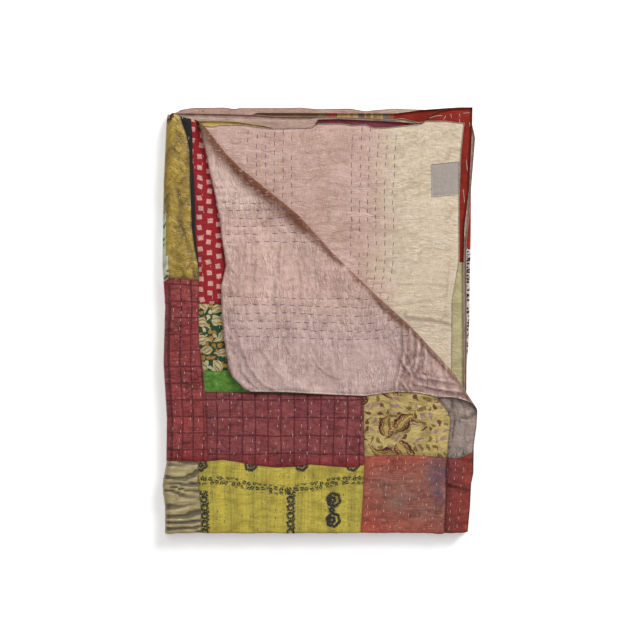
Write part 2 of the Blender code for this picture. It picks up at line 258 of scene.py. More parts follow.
PLAID_FOOT = ((100, 459.5), (166, 459.7), (198.5, 460.8), (207.5, 460.4), (223.5, 459), (236, 460.8),
              (253, 464.3), (276, 466.8), (293.5, 466), (311, 463.7), (330, 465.4), (350, 467), (364, 464))
PAISLEY_FOOT = ((364.5, 456), (375, 454.5), (400, 454), (425, 455), (447, 456.5))
GREY_FOOT = ((447, 456.5), (455.6, 457.7), (463.6, 456), (467.6, 454), (472, 452.5), (520, 450))
SEAMS_DOWN = (OLIVE_SIDE, RED_SIDE, COLUMN_SIDE, GOLD_SIDE, PLAID_SIDE, YELLOW_SIDE, GREY_SIDE, PLEAT_SIDE)
SEAMS_ACROSS = (OLIVE_FOOT, RED_FOOT, PRINT_FOOT, GREEN_FOOT, PLAID_FOOT, PAISLEY_FOOT, GREY_FOOT)
SEAMS = SEAMS_DOWN + SEAMS_ACROSS
SATIN_FROM = -0.165  # the back's satin starts this far across
SATIN_SEAM = ((361, 327.3), (402, 322.8), (414.8, 326.2), (449.8, 317.8), (483, 311.7))  # on the back

# The patches of the top layer that lie on the plaid, each with the outline that its seams give it.
TOP_PATCHES = (
    ("olive_silk", OLIVE_SIDE + OLIVE_FOOT[::-1] + ((60, 277), (60, 60), (183, 60))),
    ("black_cotton", OLIVE_SIDE + RED_SIDE[::-1]),
    ("red_squares", RED_SIDE + RED_FOOT + ((364, 303), (364, 60), (188, 60))),
    ("scroll_print", COLUMN_SIDE[1:4] + PRINT_FOOT + ((364, 303), (198.5, 303))),
    ("leaf_green_cotton", COLUMN_SIDE[3:5] + GREEN_FOOT + PRINT_FOOT[::-1]),
    ("plaid_column", OLIVE_FOOT + COLUMN_SIDE + PLAID_FOOT[2::-1]),
    ("gold_satin", PLAID_FOOT[:3] + GOLD_SIDE + ((60, 570), (60, 459.5))),
    ("yellow_block_print", PLAID_FOOT[2:] + YELLOW_SIDE + GOLD_SIDE[::-1]),
    ("paisley_print", PLAID_SIDE[:-1] + PAISLEY_FOOT + GREY_SIDE[::-1]),
    ("coral_cotton", PLAID_SIDE[-2:] + YELLOW_SIDE + PLEAT_SIDE[::-1] + PAISLEY_FOOT[::-1]),
    ("grey_satin", GREY_SIDE + GREY_FOOT + ((520, 380),)),
    ("red_coral_cotton", PLEAT_SIDE + ((520, 570),) + GREY_FOOT[::-1]),
    ("pale_leaf_print", ((167.5, 212), (166.6, 240), (167.6, 262), (168, 280), (140, 280), (140, 212))),
    ("brown_triangle", ((140, 60), (174.5, 60), (174, 115), (172, 119), (168, 121), (140, 121))),
    ("red_squares", ((168, 280), (166.4, 292), (165, 306), (140, 306), (140, 280))),
    ("brown_triangle", ((195, 96), (214, 96), (214, 150), (209, 147), (204, 137), (199, 127), (195.5, 119))),
)
# What the front has on the layers below: for each, a cloth and the board's columns and rows it fills.
SPOTTED_STRETCH = ("spotted_cotton", 440, 640, 250, 385)
INNER_PATCHES = (("faded_voile", 0, 640, 0, 165), ("rust_silk", 440, 640, 165, 250), SPOTTED_STRETCH)
LOWER_PATCHES = {
    3: (("yellow_green_silk", 0, 297, 0, 200), ("maroon_silk", 297, 399, 0, 262),
        ("rust_silk", 399, 640, 0, 262), ("yellow_green_cotton", 380, 640, 262, 640),
        ("gold_satin", 0, 297, 200, 400)),
    5: (*INNER_PATCHES, ("yellow_block_print", 0, 250, 300, 640)),
    6: INNER_PATCHES,
    7: (("striped_ikat", 0, 396, 0, 200), ("rust_silk", 396, 640, 0, 250), SPOTTED_STRETCH,
        ("coral_cotton", 0, 300, 200, 640)),
    8: (("olive_silk", 0, 250, 0, 214), ("pale_leaf_print", 0, 250, 214, 280),
        ("red_squares", 0, 250, 280, 306), ("rust_silk", 250, 640, 0, 250), SPOTTED_STRETCH,
        ("leaf_green_cotton", 250, 440, 250, 385), ("gold_satin", 0, 250, 461, 640),
        ("yellow_green_cotton", 250, 420, 385, 640), ("paisley_print", 420, 640, 385, 640)),
}


def inside(outline, column, row):
    """Which of these places are inside an outline."""
    found = np.zeros(len(column), bool)
    for (c0, r0), (c1, r1) in zip(outline, outline[1:] + outline[:1]):
        if r0 != r1:
            crosses = (r0 > row) != (r1 > row)
            found ^= crosses & (column < c0 + (row - r0) * (c1 - c0) / (r1 - r0))
    return found


def front_cloth(x, y):
    """The number of the cloth on the patched side at these flat places."""
    across, along, level = lay(x, y)
    column, row = across / RULE + BOARD_FREE_EDGE, BOARD_BOTTOM_FOLD - along / RULE
    layer = np.round(-level / PITCH).astype(int) + 1
    top = on_top(x, y)
    underside = (x < -PANEL_WIDTH) & (x > END_FOLD_X) & (y > 0)
    found = np.full(len(x), CLOTHS.index("plaid_cotton"))
    for name, outline in TOP_PATCHES:
        found[top & inside(outline, column, row)] = CLOTHS.index(name)
    for number, patches in LOWER_PATCHES.items():
        here = ~top & ((layer == number) | ((number == LAYERS) & underside))
        for name, left, right, high, low in patches:
            within = (column >= left) & (column < right) & (row >= high) & (row < low)
            found[here & within] = CLOTHS.index(name)
    return found


def back_cloth(x, y):
    """The number of the cloth on the plain side at these flat places."""
    across, along, level = lay(x, y)
    top = on_top(x, y)
    satin = top & (along < np.interp(across, *from_board(SATIN_SEAM).T)) & (x > SATIN_FROM)
    fourth = (np.round(-level / PITCH) == 3) & (x < -1)
    names = ("peach_cotton", "mauve_satin", "pink_voile", "faded_voile")
    return np.select([fourth, satin, top], [CLOTHS.index(name) for name in names[:3]], CLOTHS.index(names[3]))


def random_heights(x, y, across, along, seed):
    """Smooth heights from -1 to 1 that take a new random value every so many mm across and along."""
    table = np.random.default_rng(seed).uniform(-1, 1, (256, 256))
    u, v = x / (across * MM) + 900, y / (along * MM) + 900
    i, j = np.floor(u).astype(int), np.floor(v).astype(int)
    f, g = rise(u - i, 0, 1), rise(v - j, 0, 1)
    rows = [table[i % 256, k % 256] * (1 - f) + table[(i + 1) % 256, k % 256] * f for k in (j, j + 1)]
    return rows[0] * (1 - g) + rows[1] * g


def distance_to(lines, x, y):
    """How far these places are from the nearest of some lines on the board."""
    nearest = np.full(len(x), 9.0)
    for points in map(from_board, lines):
        for (x0, y0), (x1, y1) in zip(points, points[1:]):
            dx, dy = x1 - x0, y1 - y0
            share = np.clip(((x - x0) * dx + (y - y0) * dy) / (dx * dx + dy * dy), 0, 1)
            nearest = np.minimum(nearest, np.hypot(x - x0 - share * dx, y - y0 - share * dy))
    return nearest


# Rows of stitches run along the cloth. From the turned corner to the second layer's top they spread.
ROW_START, ROW_PITCH = 0.0136, 0.0142
FAR_ROW_START, FAR_ROW_PITCH = 0.0252, 0.0165


def row_lines(y):
    """Where the rows start and how far apart they are, at this place along the sheet."""
    far = rise(-y, -0.40, 0.40)
    return ROW_START * (1 - far) + FAR_ROW_START * far, ROW_PITCH * (1 - far) + FAR_ROW_PITCH * far


def from_row(x, y):
    """How far the nearest row of stitches is from these flat places."""
    start, pitch = row_lines(y)
    return np.abs(x + start + pitch * np.round((-x - start) / pitch))


# Folds and wrinkles that stand out: their line on the board, half width and height in mm.
FLAP_FOLDS = (
    (((403, 322), (404, 336), (405, 350), (402, 362), (399, 374), (396, 386)), 3.0, 2.6),
    (((417, 331), (418, 346), (417, 360), (414, 371)), 3.0, 2.6),
    (((408, 352), (412, 361), (407, 370), (401, 380), (407, 388), (411, 394)), 2.4, 2.8),
    (((402, 358), (406, 366), (412, 373), (410, 384), (413, 393)), 2.2, 2.2),
    (((415, 383), (434, 386), (450, 389), (462, 391)), 2.2, 2.6),
    (((412, 391), (430, 393), (446, 395), (460, 396)), 2.2, 2.4),
    (((418, 375), (436, 378), (454, 381)), 2.6, 1.8),
    (((424, 342), (426, 356), (424, 371)), 2.6, 1.6),
    (((432, 352), (434, 370)), 2.6, 1.2),
    (((392, 345), (396, 352), (402, 350)), 2.4, 1.2),
    (((374, 395), (386, 389), (396, 383)), 2.8, 2.0),
    (((380, 397), (392, 391), (400, 388)), 2.4, 2.0),
    (((368, 391), (378, 386)), 2.2, 1.2),
    (((239, 330), (243, 348), (250, 366), (262, 382), (276, 389)), 3.2, 1.6),
    (((230, 300), (232, 330), (236, 352), (244, 372), (256, 386)), 2.4, 1.2),
    (((317, 363), (325, 371), (335, 376), (341, 377)), 2.2, 1.4),
    (((258, 262), (256, 290), (262, 318)), 3.4, 1.4),
    (((282, 246), (280, 272), (276, 300)), 3.4, 1.3),
    (((300, 262), (304, 288), (300, 306)), 3.0, 1.2),
    (((240, 250), (243, 276), (240, 300)), 3.4, 1.2),
    (((284, 340), (290, 352), (296, 360)), 2.4, 1.3),
    (((262, 346), (270, 362), (282, 376)), 2.8, 1.5),
    (((222, 232), (230, 262), (232, 290)), 3.0, 1.2),
)
# Valleys between the satin's folds, darkened with reddish painted shade: their line on the board, half width
# in mm, and how deep.
FLAP_VALLEYS = (
    (((407, 325), (409, 340), (409, 356)), 4.2, 0.9),
    (((413, 372), (417, 381), (412, 393)), 3.0, 1.0),
    (((418, 380), (438, 383), (458, 387)), 2.8, 0.8),
    (((414, 388), (434, 390), (456, 394)), 2.2, 0.8),
    (((403, 366), (406, 374), (402, 380), (405, 392)), 2.2, 1.0),
    (((396, 352), (398, 364), (394, 380)), 2.4, 0.5),
    (((421, 336), (422, 352), (420, 370)), 2.4, 0.6),
    (((376, 393), (388, 386), (396, 380)), 1.6, 0.8),
    (((384, 398), (394, 394), (402, 391)), 1.8, 0.9),
)
SECOND_FOLDS = (
    (((408, 314), (425, 315.5), (440, 317), (454, 322)), 3.6, 1.8),
    (((410, 322), (430, 323), (450, 327)), 3.0, 0.9),
    (((412, 300), (428, 298), (442, 294)), 2.6, 0.9),
    (((400, 282), (420, 280), (446, 283)), 2.8, 0.8),
    (((452, 262), (449, 290), (447, 312)), 2.6, 1.0),
    (((318, 205), (340, 203), (380, 206)), 3.0, 0.8),
    (((330, 180), (352, 184), (384, 181)), 3.0, 0.8),
    (((300, 150), (330, 146), (350, 149)), 3.0, 0.8),
    (((352, 226), (376, 230), (402, 227)), 3.0, 0.8),
    (((380, 258), (396, 256), (420, 260)), 2.8, 0.7),
)
TOP_FOLDS = (
    (((448, 480), (456, 486), (464, 489), (473, 492)), 2.4, 1.8),
    (((449, 474), (458, 479), (466, 482), (472, 481)), 2.6, 1.4),
    (((458, 400), (460, 420), (458, 445)), 3.0, 1.2),
    (((466, 405), (470, 428), (468, 450)), 3.0, 1.2),
    (((451, 460), (452, 490), (451, 528)), 2.6, 1.2),
    (((162, 300), (176, 306), (198, 305)), 3.0, 1.2),
    (((163, 318), (180, 324), (199, 318)), 3.4, 1.3),
    (((164, 292), (182, 298), (196, 291)), 2.4, 1.0),
    (((370, 480), (400, 483), (444, 479)), 3.6, 0.9),
    (((366, 494), (400, 496), (440, 492)), 3.6, 0.7),
)
# The label's corners on the board, from its upper left one round.
LABEL_CORNERS = ((431.1, 163.6), (458.9, 160.4), (459.1, 193.2), (431.9, 196))


def ridges(folds, x, y, widened=1):
    """How high these folds stand here, in metres, if each is so many times as wide."""
    return sum(tall * MM * bell(distance_to((line,), x, y), widened * width * MM)
               for line, width, tall in folds)


def covered(across, along):
    """How far under the turned corner a place of the top layer is, from 0 at its edge to 1."""
    mirrored_x, mirrored_y = CREASE_HEIGHT - along, CREASE_HEIGHT - across
    depth = np.minimum(-mirrored_x, table_at(MARGIN_LINE, mirrored_x) - mirrored_y)
    return rise(depth, -0.004, 0.010)


def puffs(x, y, across, along, seed, sharp=0.2):
    """Rounded puffs from 0 to 1 between sharp hollows, and where the hollows are."""
    wander = random_heights(x, y, 1.7 * across, 2.5 * along, seed + 7)
    height = np.abs(random_heights(x, y + 0.8 * wander * along * MM, across, along, seed))
    strong = 0.25 + 0.75 * rise(random_heights(x, y, 1.3 * across, 3.1 * along, seed + 3), -0.5, 0.4)
    return np.clip(height * 1.5, 0, 1) * strong, np.clip(1 - height / sharp, 0, 1) * strong


def front_relief(x, y):
    """How far the patched side stands out past its plain thickness, and how deep in a hollow it is, which
    sets its painted shade, or below 0 its painted highlight.
    """
    out, hollows = np.zeros(len(x)), np.zeros(len(x))
    seen = on_top(x, y)
    x, y = x[seen], y[seen]
    across, along, level = lay(x, y)
    wide = 0.5 + 0.5 * random_heights(x, y, 80, 60, 3)
    puff, hollow = puffs(x, y, 34, 11, 5)
    fine, fine_hollow = puffs(x, y, 17, 7, 6)
    slant, slant_hollow = puffs(x + 0.5 * y, y - 0.4 * x, 30, 14, 9)
    between_rows = 1 - bell(from_row(x, y), 3.4 * MM)
    stands = 0.35 * between_rows + 0.75 * puff + 0.4 * fine + 0.5 * slant + 0.5 * wide
    hollow = np.max([0.8 * hollow, 0.5 * fine_hollow, 0.6 * slant_hollow], axis=0)
    # The olive silk is crushed two ways, over broad folds that run down it.
    crushed, crushed_hollow = puffs(x - 0.45 * y, y + 0.35 * x, 24, 9, 11, 0.3)
    crushed_too, too_hollow = puffs(x + 0.7 * y, y - 0.5 * x, 20, 11, 12, 0.3)
    broad, broad_hollow = puffs(x + 0.15 * y, y, 17, 58, 13, 0.26)
    silk = 1.2 * crushed + 1.1 * crushed_too + 0.4 * fine + 0.9 * wide + 2.0 * broad
    silk_hollow = np.max([0.5 * crushed_hollow, 0.5 * too_hollow, 0.8 * broad_hollow], axis=0)
    # The crumples' tops are taken below 0, for a painted highlight.
    silk_hollow -= 0.5 * rise(crushed + crushed_too, 0.8, 1.4)
    # The gold satin is drawn into drapes 13.5 mm apart that fan out from the left fold.
    fan = y + 0.30 * bell(y - 0.078, 0.030) * (x + PANEL_WIDTH) + 0.004 * random_heights(x, y, 34, 20, 22)
    draped = np.sin(fan * 2 * pi / 0.0135 + 5.0 * random_heights(x, y, 60, 24, 23))
    draped = draped + 0.35 * np.sin(fan * 2 * pi / 0.0071 + 4.0 * random_heights(x, y, 40, 30, 28))
    strength = 0.3 + 0.7 * rise(random_heights(x, y, 44, 18, 24), -0.5, 0.3)
    satin = 1.7 * (1 + draped) * strength + 0.4 * puff
    # Its troughs get painted shade, and its crests, where the hollow goes below 0, a painted highlight.
    crest = rise(draped, 0.25, 1.1) * rise(random_heights(x, y, 26, 12, 27), -0.7, 0.3)
    satin_hollow = (1.7 * rise(-draped, -0.1, 1.0) - 1.9 * crest) * strength
    # The grey satin is slack, in long soft folds.
    slack_hollow = np.clip(1 - np.abs(random_heights(x, y, 9, 60, 31)) / 0.3, 0, 1)
    slack = 1.3 * (1 - slack_hollow) + 0.7 * wide + 0.5 * slant
    # Its folds get painted shade, and its broad rises between them a painted highlight.
    slack_hollow = 0.8 * slack_hollow - 0.4 * wide * (1 - slack_hollow)
    cloth = front_cloth(x, y)
    silks = [cloth == CLOTHS.index(name) for name in ("olive_silk", "gold_satin", "grey_satin")]
    stands = np.select(silks, [silk, satin, slack], stands) * MM
    hollow = np.select(silks, [silk_hollow, satin_hollow, slack_hollow], hollow)
    # Seams are pulled in, and the pleat laps over the cloth beside it.
    seam = distance_to(SEAMS, across, along)
    stands *= 1 - bell(seam, 2.8 * MM)
    stands -= 0.5 * MM * bell(seam, 1.5 * MM)
    stands += ridges(TOP_FOLDS, across, along)
    lap = np.interp(along, *from_board(PLEAT_SIDE)[::-1, ::-1].T) - across
    stands += 1.4 * MM * rise(lap, 0.0004, 0.0030) * (1 - rise(lap, 0.008, 0.022)) * (along < 0.134)
    # Seams, the pleat and a pinch in the coral are darkened along their lines: painted shade, which at the
    # seams
    # also stands for their dark joins. The pinch is painted only, with no relief of its own.
    pinch = ((447, 485), (458, 486), (471.5, 490))
    for away, deep, width in ((seam, 0.75, 1.1), (distance_to((PLEAT_SIDE,), across, along), 1.6, 1.5),
                              (distance_to((pinch,), across, along), 1.5, 3.2)):
        hollow = np.maximum(hollow, deep * bell(away, width * MM))
    shown = (1 - covered(across, along)) * (1 - rise(past_crease(across, along), -0.012, -0.003))
    out[seen] = stands * shown * rise(level, -3 * PITCH, -PITCH)
    hollows[seen] = hollow
    return out, hollows


HEM_WIDTH = 13  # in mm


def back_relief(x, y):
    """How far the plain side stands out past its plain thickness, and how deep in a hollow it is, which
    sets its painted shade, or below 0 its painted highlight.
    """
    top = on_top(x, y)
    second = ~top & (x > -PANEL_WIDTH)
    across, along, _ = middle(x, y)
    lain = lay(x, y)
    wide = 0.5 + 0.5 * random_heights(x, y, 70, 55, 41)
    puff, hollow = puffs(x, y, 46, 10, 45)
    fine, fine_hollow = puffs(x, y, 24, 6.5, 46)
    smooth, smooth_hollow = puffs(x, y, 44, 10, 47)
    slant, slant_hollow = puffs(x + 0.5 * y, y - 0.35 * x, 44, 15, 49)
    between_rows = 1 - bell(from_row(x, y), 3.6 * MM)
    stands = (0.35 * between_rows + 0.8 * puff + 0.4 * fine) * np.where(top, 1.4, 0.6) + 0.6 * wide
    stands += np.where(top, 0.7, 0.2) * slant
    hollow = np.max([0.9 * hollow, 0.6 * fine_hollow, np.where(top, 0.7, 0.3) * slant_hollow], axis=0)
    satin = back_cloth(x, y) == CLOTHS.index("mauve_satin")
    stands = np.where(satin, 1.7 * smooth + 0.8 * wide + 0.9 * slant + 0.3 * fine, stands) * MM
    hollow = np.where(satin, smooth_hollow, hollow * np.where(top, 1, 0.7))
    # Beside each fold lies painted shade, and on the satin the folds' tops get a painted highlight.
    for part, folds in ((top, FLAP_FOLDS), (second, SECOND_FOLDS)):
        bold = ridges(folds, across[part], along[part])
        beside = ridges(folds, across[part], along[part], 2.1)
        stands[part] += bold
        hollow[part] = np.maximum(hollow[part], np.clip((beside - 1.15 * bold) / (1.1 * MM), 0, 1.1))
        hollow[part] -= np.where(satin[part], 1.3 * rise(bold, 0.7 * MM, 2.2 * MM), 0)
    for line, width, deep in FLAP_VALLEYS:
        valley = deep * bell(distance_to((line,), across, along), width * MM)
        hollow = np.where(top, np.maximum(hollow, valley), hollow)
        stands -= np.where(top, 0.8 * valley * MM, 0)
    # A hem is sewn along the turned corner's margin, and the cloth puckers at it, with painted shade along
    # the hem's line.
    to_hem = (table_at(MARGIN_LINE, lain[0]) - lain[1]) / MM
    sewn = np.where(top, bell(to_hem - HEM_WIDTH, 1.7), 0)
    pucker = random_heights(x, y, 5.5, 15, 53)
    stands += np.where(top, 1.3 * pucker * bell(to_hem - 0.8 * HEM_WIDTH, 9) - 0.7 * sewn, 0) * MM
    hollow = np.maximum(hollow, sewn * (0.35 + 0.45 * np.abs(pucker)))
    # The satin's puffs are taken below 0, for a painted highlight.
    hollow -= np.where(satin, 0.55 * rise(smooth, 0.4, 0.9), 0)
    # The relief ends at the crease, and the second layer is pressed flat round the label.
    label = from_board(LABEL_CORNERS).mean(axis=0)
    near_label = np.maximum(np.abs(across - label[0]) / 0.032, np.abs(along - label[1]) / 0.037)
    on_flap = rise(past_crease(*lain[:2]), -0.004, 0.012)
    on_second = rise(past_crease(across, along), -0.012, 0.002) * (0.15 + 0.85 * rise(near_label, 0.9, 1.3))
    return np.maximum(stands, 0) * np.select([top, second], [on_flap, on_second], 0), hollow


def from_edge(x, y):
    """How far these flat places are from the sheet's own edge."""
    sides = np.minimum(np.minimum(-x, x - SHEET_LEFT_X), np.minimum(PANEL_LENGTH - y, y - SHEET_LOW_Y))
    return np.maximum(sides, 0)


# Within so many metres of its edge the sheet thins by this share, and its relief dies away.
EDGE_THINS, THIN_WITHIN, FLAT_WITHIN = 0.45, 0.0022, 0.006


def cloth_face(x, y, front):
    """The surface of the quilt on one side at these flat places, the way it faces, and its hollows."""
    normal = facing(x, y) * (1 if front else -1)
    edge = from_edge(x, y)
    half = CLOTH / 2 * (1 - EDGE_THINS * np.exp(-edge / THIN_WITHIN))
    stands, hollow = front_relief(x, y) if front else back_relief(x, y)
    places = middle(x, y) + normal * (half + stands * rise(edge, 0, FLAT_WITHIN))
    places[:2] += TO_ORIGIN[:, None]
    return places, normal, hollow


# The sheet's grid. Blocks of eight by eight cells are left whole where no one sees them.
BLOCK = 8
PANEL_CELLS, LENGTH_CELLS = 22 * BLOCK, 31 * BLOCK
SIDE_ARC_CELLS, END_ARC_CELLS, BOTTOM_ARC_CELLS = 8, 6, 6
STRIP_CELLS = 8  # rows past the rolled margin's bend, and as many round it
LEAST_STRIP = 0.012  # the least cloth past the margin's line
ON_SEAM = 0.0012  # a diagonal's two ends are this near a seam, together
MOST_SNAP = 0.0021  # the grid's points are moved onto a seam from this far off
# Faces that are folded in are finer within these distances of an edge, and all along it past this place
# across, where the far edge lies among the top ones.
AT_EDGE, NEAR_EDGE, FAR_EDGE_FROM = 0.012, 0.034, -1.6


def divide(stops, cells, whole):
    """Places with so many cells from each stop to the next, and the numbers that blocks start at."""
    places, starts = [stops[0]], [0]
    for start, stop, count in zip(stops, stops[1:], cells):
        places += list(np.linspace(start, stop, count + 1)[1:])
        step = BLOCK if count == whole else count
        starts += range(starts[-1] + step, len(places), step)
    return np.array(places), starts


columns, column_blocks = divide(
    (0, -PANEL_WIDTH, -PANEL_WIDTH - SIDE_ARC, END_FOLD_X, END_FOLD_X - END_ARC,
     SHEET_LEFT_X + PANEL_WIDTH + SIDE_ARC, SHEET_LEFT_X + PANEL_WIDTH, SHEET_LEFT_X),
    (PANEL_CELLS, SIDE_ARC_CELLS, PANEL_CELLS, END_ARC_CELLS, PANEL_CELLS, SIDE_ARC_CELLS, PANEL_CELLS),
    PANEL_CELLS)
rows, row_blocks = divide((PANEL_LENGTH, 0, -BOTTOM_ARC, SHEET_LOW_Y),
                          (LENGTH_CELLS, BOTTOM_ARC_CELLS, LENGTH_CELLS), LENGTH_CELLS)
flat_x, flat_y = (part.copy() for part in np.meshgrid(columns, rows, indexing="ij"))
# The rows near the top edge run with the margin that is rolled.
margin_y = table_at(MARGIN_LINE, columns)
for _ in range(4):
    drawn_in = rise(margin_y, (1 - TOP_REACH) * PANEL_LENGTH, PANEL_LENGTH) * table_at(TOP_EDGES[0], columns)
    margin_y = table_at(MARGIN_LINE, columns) - drawn_in
margin_y = np.minimum(margin_y, PANEL_LENGTH - LEAST_STRIP)
bend_end = margin_y + np.minimum(pi * MARGIN_RADIUS, 0.85 * (PANEL_LENGTH - margin_y))
row_stops = (0, STRIP_CELLS, 2 * STRIP_CELLS, LENGTH_CELLS)
for run, margin, bend in zip(flat_y, margin_y, bend_end):
    stops = (PANEL_LENGTH, bend, margin, 0)
    run[:LENGTH_CELLS + 1] = np.interp(range(LENGTH_CELLS + 1), row_stops, stops)
# The grid's nearest points move onto the seams of the top layer, so that no seam is stepped.
xs, ys = (part[:PANEL_CELLS + SIDE_ARC_CELLS // 2, :LENGTH_CELLS + 1] for part in (flat_x, flat_y))
for seam in SEAMS + (SATIN_SEAM,):
    down = seam in SEAMS_DOWN
    moved, run = (part.reshape(xs.shape) for part in lay(xs.ravel(), ys.ravel())[:2][::1 if down else -1])
    line = from_board(seam)[:, ::-1 if down else 1]
    line = line[np.argsort(line[:, 0])]
    off = np.interp(run, *line.T) - moved
    off[(run < line[0, 0] - 0.001) | (run > line[-1, 0] + 0.001)] = 9
    for k, n in enumerate(np.argmin(np.abs(off), axis=0 if down else 1)):
        at = (n, k) if down else (k, n)
        if abs(off[at]) < MOST_SNAP:
            (xs if down else ys)[at] += off[at]


def seen_step(xs, ys, front):
    """How many cells a face has each way: 1 where these flat places are in full view on that side, 2 or 4
    near the edges and else 8."""
    top = on_top(xs, ys)
    second = (xs > -PANEL_WIDTH - 0.001) & (ys < 0)
    across, along, _ = lay(xs, ys)
    past = past_crease(across, along)
    if front:
        hidden = covered(across + 0.008, along - 0.008) + covered(across - 0.008, along + 0.008)
        full = top & (past < 0.006) & (hidden < 1.99)
    else:
        full = (top & (past > -0.012)) | (second & (past > -0.016))
    edge = from_edge(xs, ys)
    near = (edge < NEAR_EDGE) & ~second
    fine = (edge < AT_EDGE) | near & (xs < FAR_EDGE_FROM)
    return np.select([full, fine, near], [1, 2, 4], BLOCK)


def boxes_of(front):
    """The faces of one side as boxes of grid numbers: left, right, top and low."""
    boxes = []
    for left, right in zip(column_blocks, column_blocks[1:]):
        side_fold = left in (PANEL_CELLS, 3 * PANEL_CELLS + SIDE_ARC_CELLS + END_ARC_CELLS)
        for top, low in zip(row_blocks, row_blocks[1:]):
            at = np.ix_([left, (left + right) // 2, right], [top, (top + low) // 2, low])
            step = int(seen_step(flat_x[at].ravel(), flat_y[at].ravel(), front).min())
            wide = step if right - left == BLOCK and not side_fold else 1
            tall = step if low - top == BLOCK else 1
            if side_fold:
                tall = min(tall, 2 if left == PANEL_CELLS and top < LENGTH_CELLS else 4)
            if low - top != BLOCK:
                wide = min(wide, 4)
            boxes += [(i, i + wide, j, j + tall)
                      for i in range(left, right, wide) for j in range(top, low, tall)]
    return np.array(boxes)


def walk_round(left, right, top, low):
    """The grid numbers round a box, the way that the patched side's faces turn."""
    walk = [(i, low) for i in range(right, left, -1)] + [(left, j) for j in range(low, top, -1)]
    return walk + [(i, top) for i in range(left, right)] + [(right, j) for j in range(top, low)]


TRIANGLES = ((0, 1, 2), (0, 2, 3)), ((0, 1, 3), (1, 2, 3))
RIM_OUT = 0.0006  # how far the sheet's rounded edge stands out


def build_sheet():
    """The places, faces, cloths, sides, flat places and hollows of the whole closed sheet."""
    boxes = {front: boxes_of(front) for front in (True, False)}
    used = {front: np.zeros(flat_x.shape, bool) for front in boxes}
    for front, side in boxes.items():
        for i in (0, 1):
            for j in (2, 3):
                used[front][side[:, i], side[:, j]] = True
    rim = np.ones(flat_x.shape, bool)
    rim[1:-1, 1:-1] = False
    rim &= used[True] | used[False]
    numbers, places, flats, hollows, faces, cloths, fronts, count = {}, [], [], [], [], [], [], 0
    for front in boxes:
        used[front] |= rim
        x, y = flat_x[used[front]], flat_y[used[front]]
        numbers[front] = np.full(flat_x.shape, -1)
        numbers[front][used[front]] = np.arange(count, count + len(x))
        count += len(x)
        surface, _, hollow = cloth_face(x, y, front)
        places.append(surface.T)
        hollows.append(hollow)
        flats.append(np.array([x, y]).T)
    for front, side in boxes.items():
        cloth_at = front_cloth if front else back_cloth
        corner_x, corner_y = ([part[side[:, i], side[:, j]] for i, j in ((1, 3), (0, 3), (0, 2), (1, 2))]
                              for part in (flat_x, flat_y))
        mid_x, mid_y = sum(corner_x) / 4, sum(corner_y) / 4
        near_corners = [cloth_at(0.7 * x + 0.3 * mid_x, 0.7 * y + 0.3 * mid_y)
                        for x, y in zip(corner_x, corner_y)]
        centre = cloth_at(mid_x, mid_y)
        # A cell on a seam is cut along the diagonal whose two ends are on the seam.
        from_seam = [distance_to(SEAMS + (SATIN_SEAM,), *lay(x, y)[:2]) for x, y in zip(corner_x, corner_y)]
        diagonals = np.array([from_seam[0] + from_seam[2], from_seam[1] + from_seam[3]])
        single = (side[:, 1] - side[:, 0] == 1) & (side[:, 3] - side[:, 2] == 1)
        mixed = np.min(near_corners, axis=0) != np.max(near_corners, axis=0)
        cut = np.where(single & mixed & (diagonals.min(axis=0) < ON_SEAM), diagonals.argmin(axis=0), 2)
        cloth_of = [[cloth_at(sum(corner_x[c] for c in three) / 3, sum(corner_y[c] for c in three) / 3)
                     for three in pair] for pair in TRIANGLES]
        for n, box in enumerate(side.tolist()):
            ring = [numbers[front][at] for at in walk_round(*box) if used[front][at]]
            parts = [(ring, centre[n])]
            if cut[n] < 2:
                parts = [([ring[c] for c in three], cloth[n])
                         for three, cloth in zip(TRIANGLES[cut[n]], cloth_of[cut[n]])]
            for ring, cloth in parts:
                faces.append(tuple(ring if front else ring[::-1]))
                cloths.append(cloth)
                fronts.append(front)
    # Round the sheet's edge a rounded rim joins the two sides.
    walk = [at for at in walk_round(0, len(columns) - 1, 0, len(rows) - 1) if rim[at]]
    x, y = (part[tuple(np.array(walk).T)] for part in (flat_x, flat_y))
    past_x = np.where(x > -1e-9, RIM_OUT, np.where(x < SHEET_LEFT_X + 1e-9, -RIM_OUT, 0))
    past_y = np.where(y > PANEL_LENGTH - 1e-9, RIM_OUT, np.where(y < SHEET_LOW_Y + 1e-9, -RIM_OUT, 0))
    rim_places = 3 * middle(x, y) - 2 * middle(x - past_x / 2, y - past_y / 2)
    rim_places[:2] += TO_ORIGIN[:, None]
    places.append(rim_places.T)
    hollows.append(np.zeros(len(x)))
    flats.append(np.array([x + 3 * past_x, y + 3 * past_y]).T)
    front, back = ([numbers[side][at] for at in walk] for side in (True, False))
    for n, (front_look, back_look) in enumerate(zip(front_cloth(x, y), back_cloth(x, y))):
        then = (n + 1) % len(walk)
        faces.append((front[n], front[then], count + then, count + n))
        faces.append((count + n, count + then, back[then], back[n]))
        cloths += [front_look, back_look]
        fronts += [True, False]
    return np.concatenate(places), faces, cloths, fronts, np.concatenate(flats), np.concatenate(hollows)


def linear(code):
    """An sRGB hex colour as linear red, green, blue and alpha."""
    values = [int(code[i:i + 2], 16) / 255 for i in (0, 2, 4)]
    return (*(v / 12.92 if v <= 0.04045 else ((v + 0.055) / 1.055) ** 2.4 for v in values), 1)


def connect(tree, node, inputs):
    """Gives a node's inputs their links, values or hex colours."""
    for key, value in inputs.items():
        if isinstance(value, bpy.types.NodeSocket):
            tree.links.new(value, node.inputs[key])
        elif value is not None:
            node.inputs[key].default_value = linear(value) if isinstance(value, str) else value


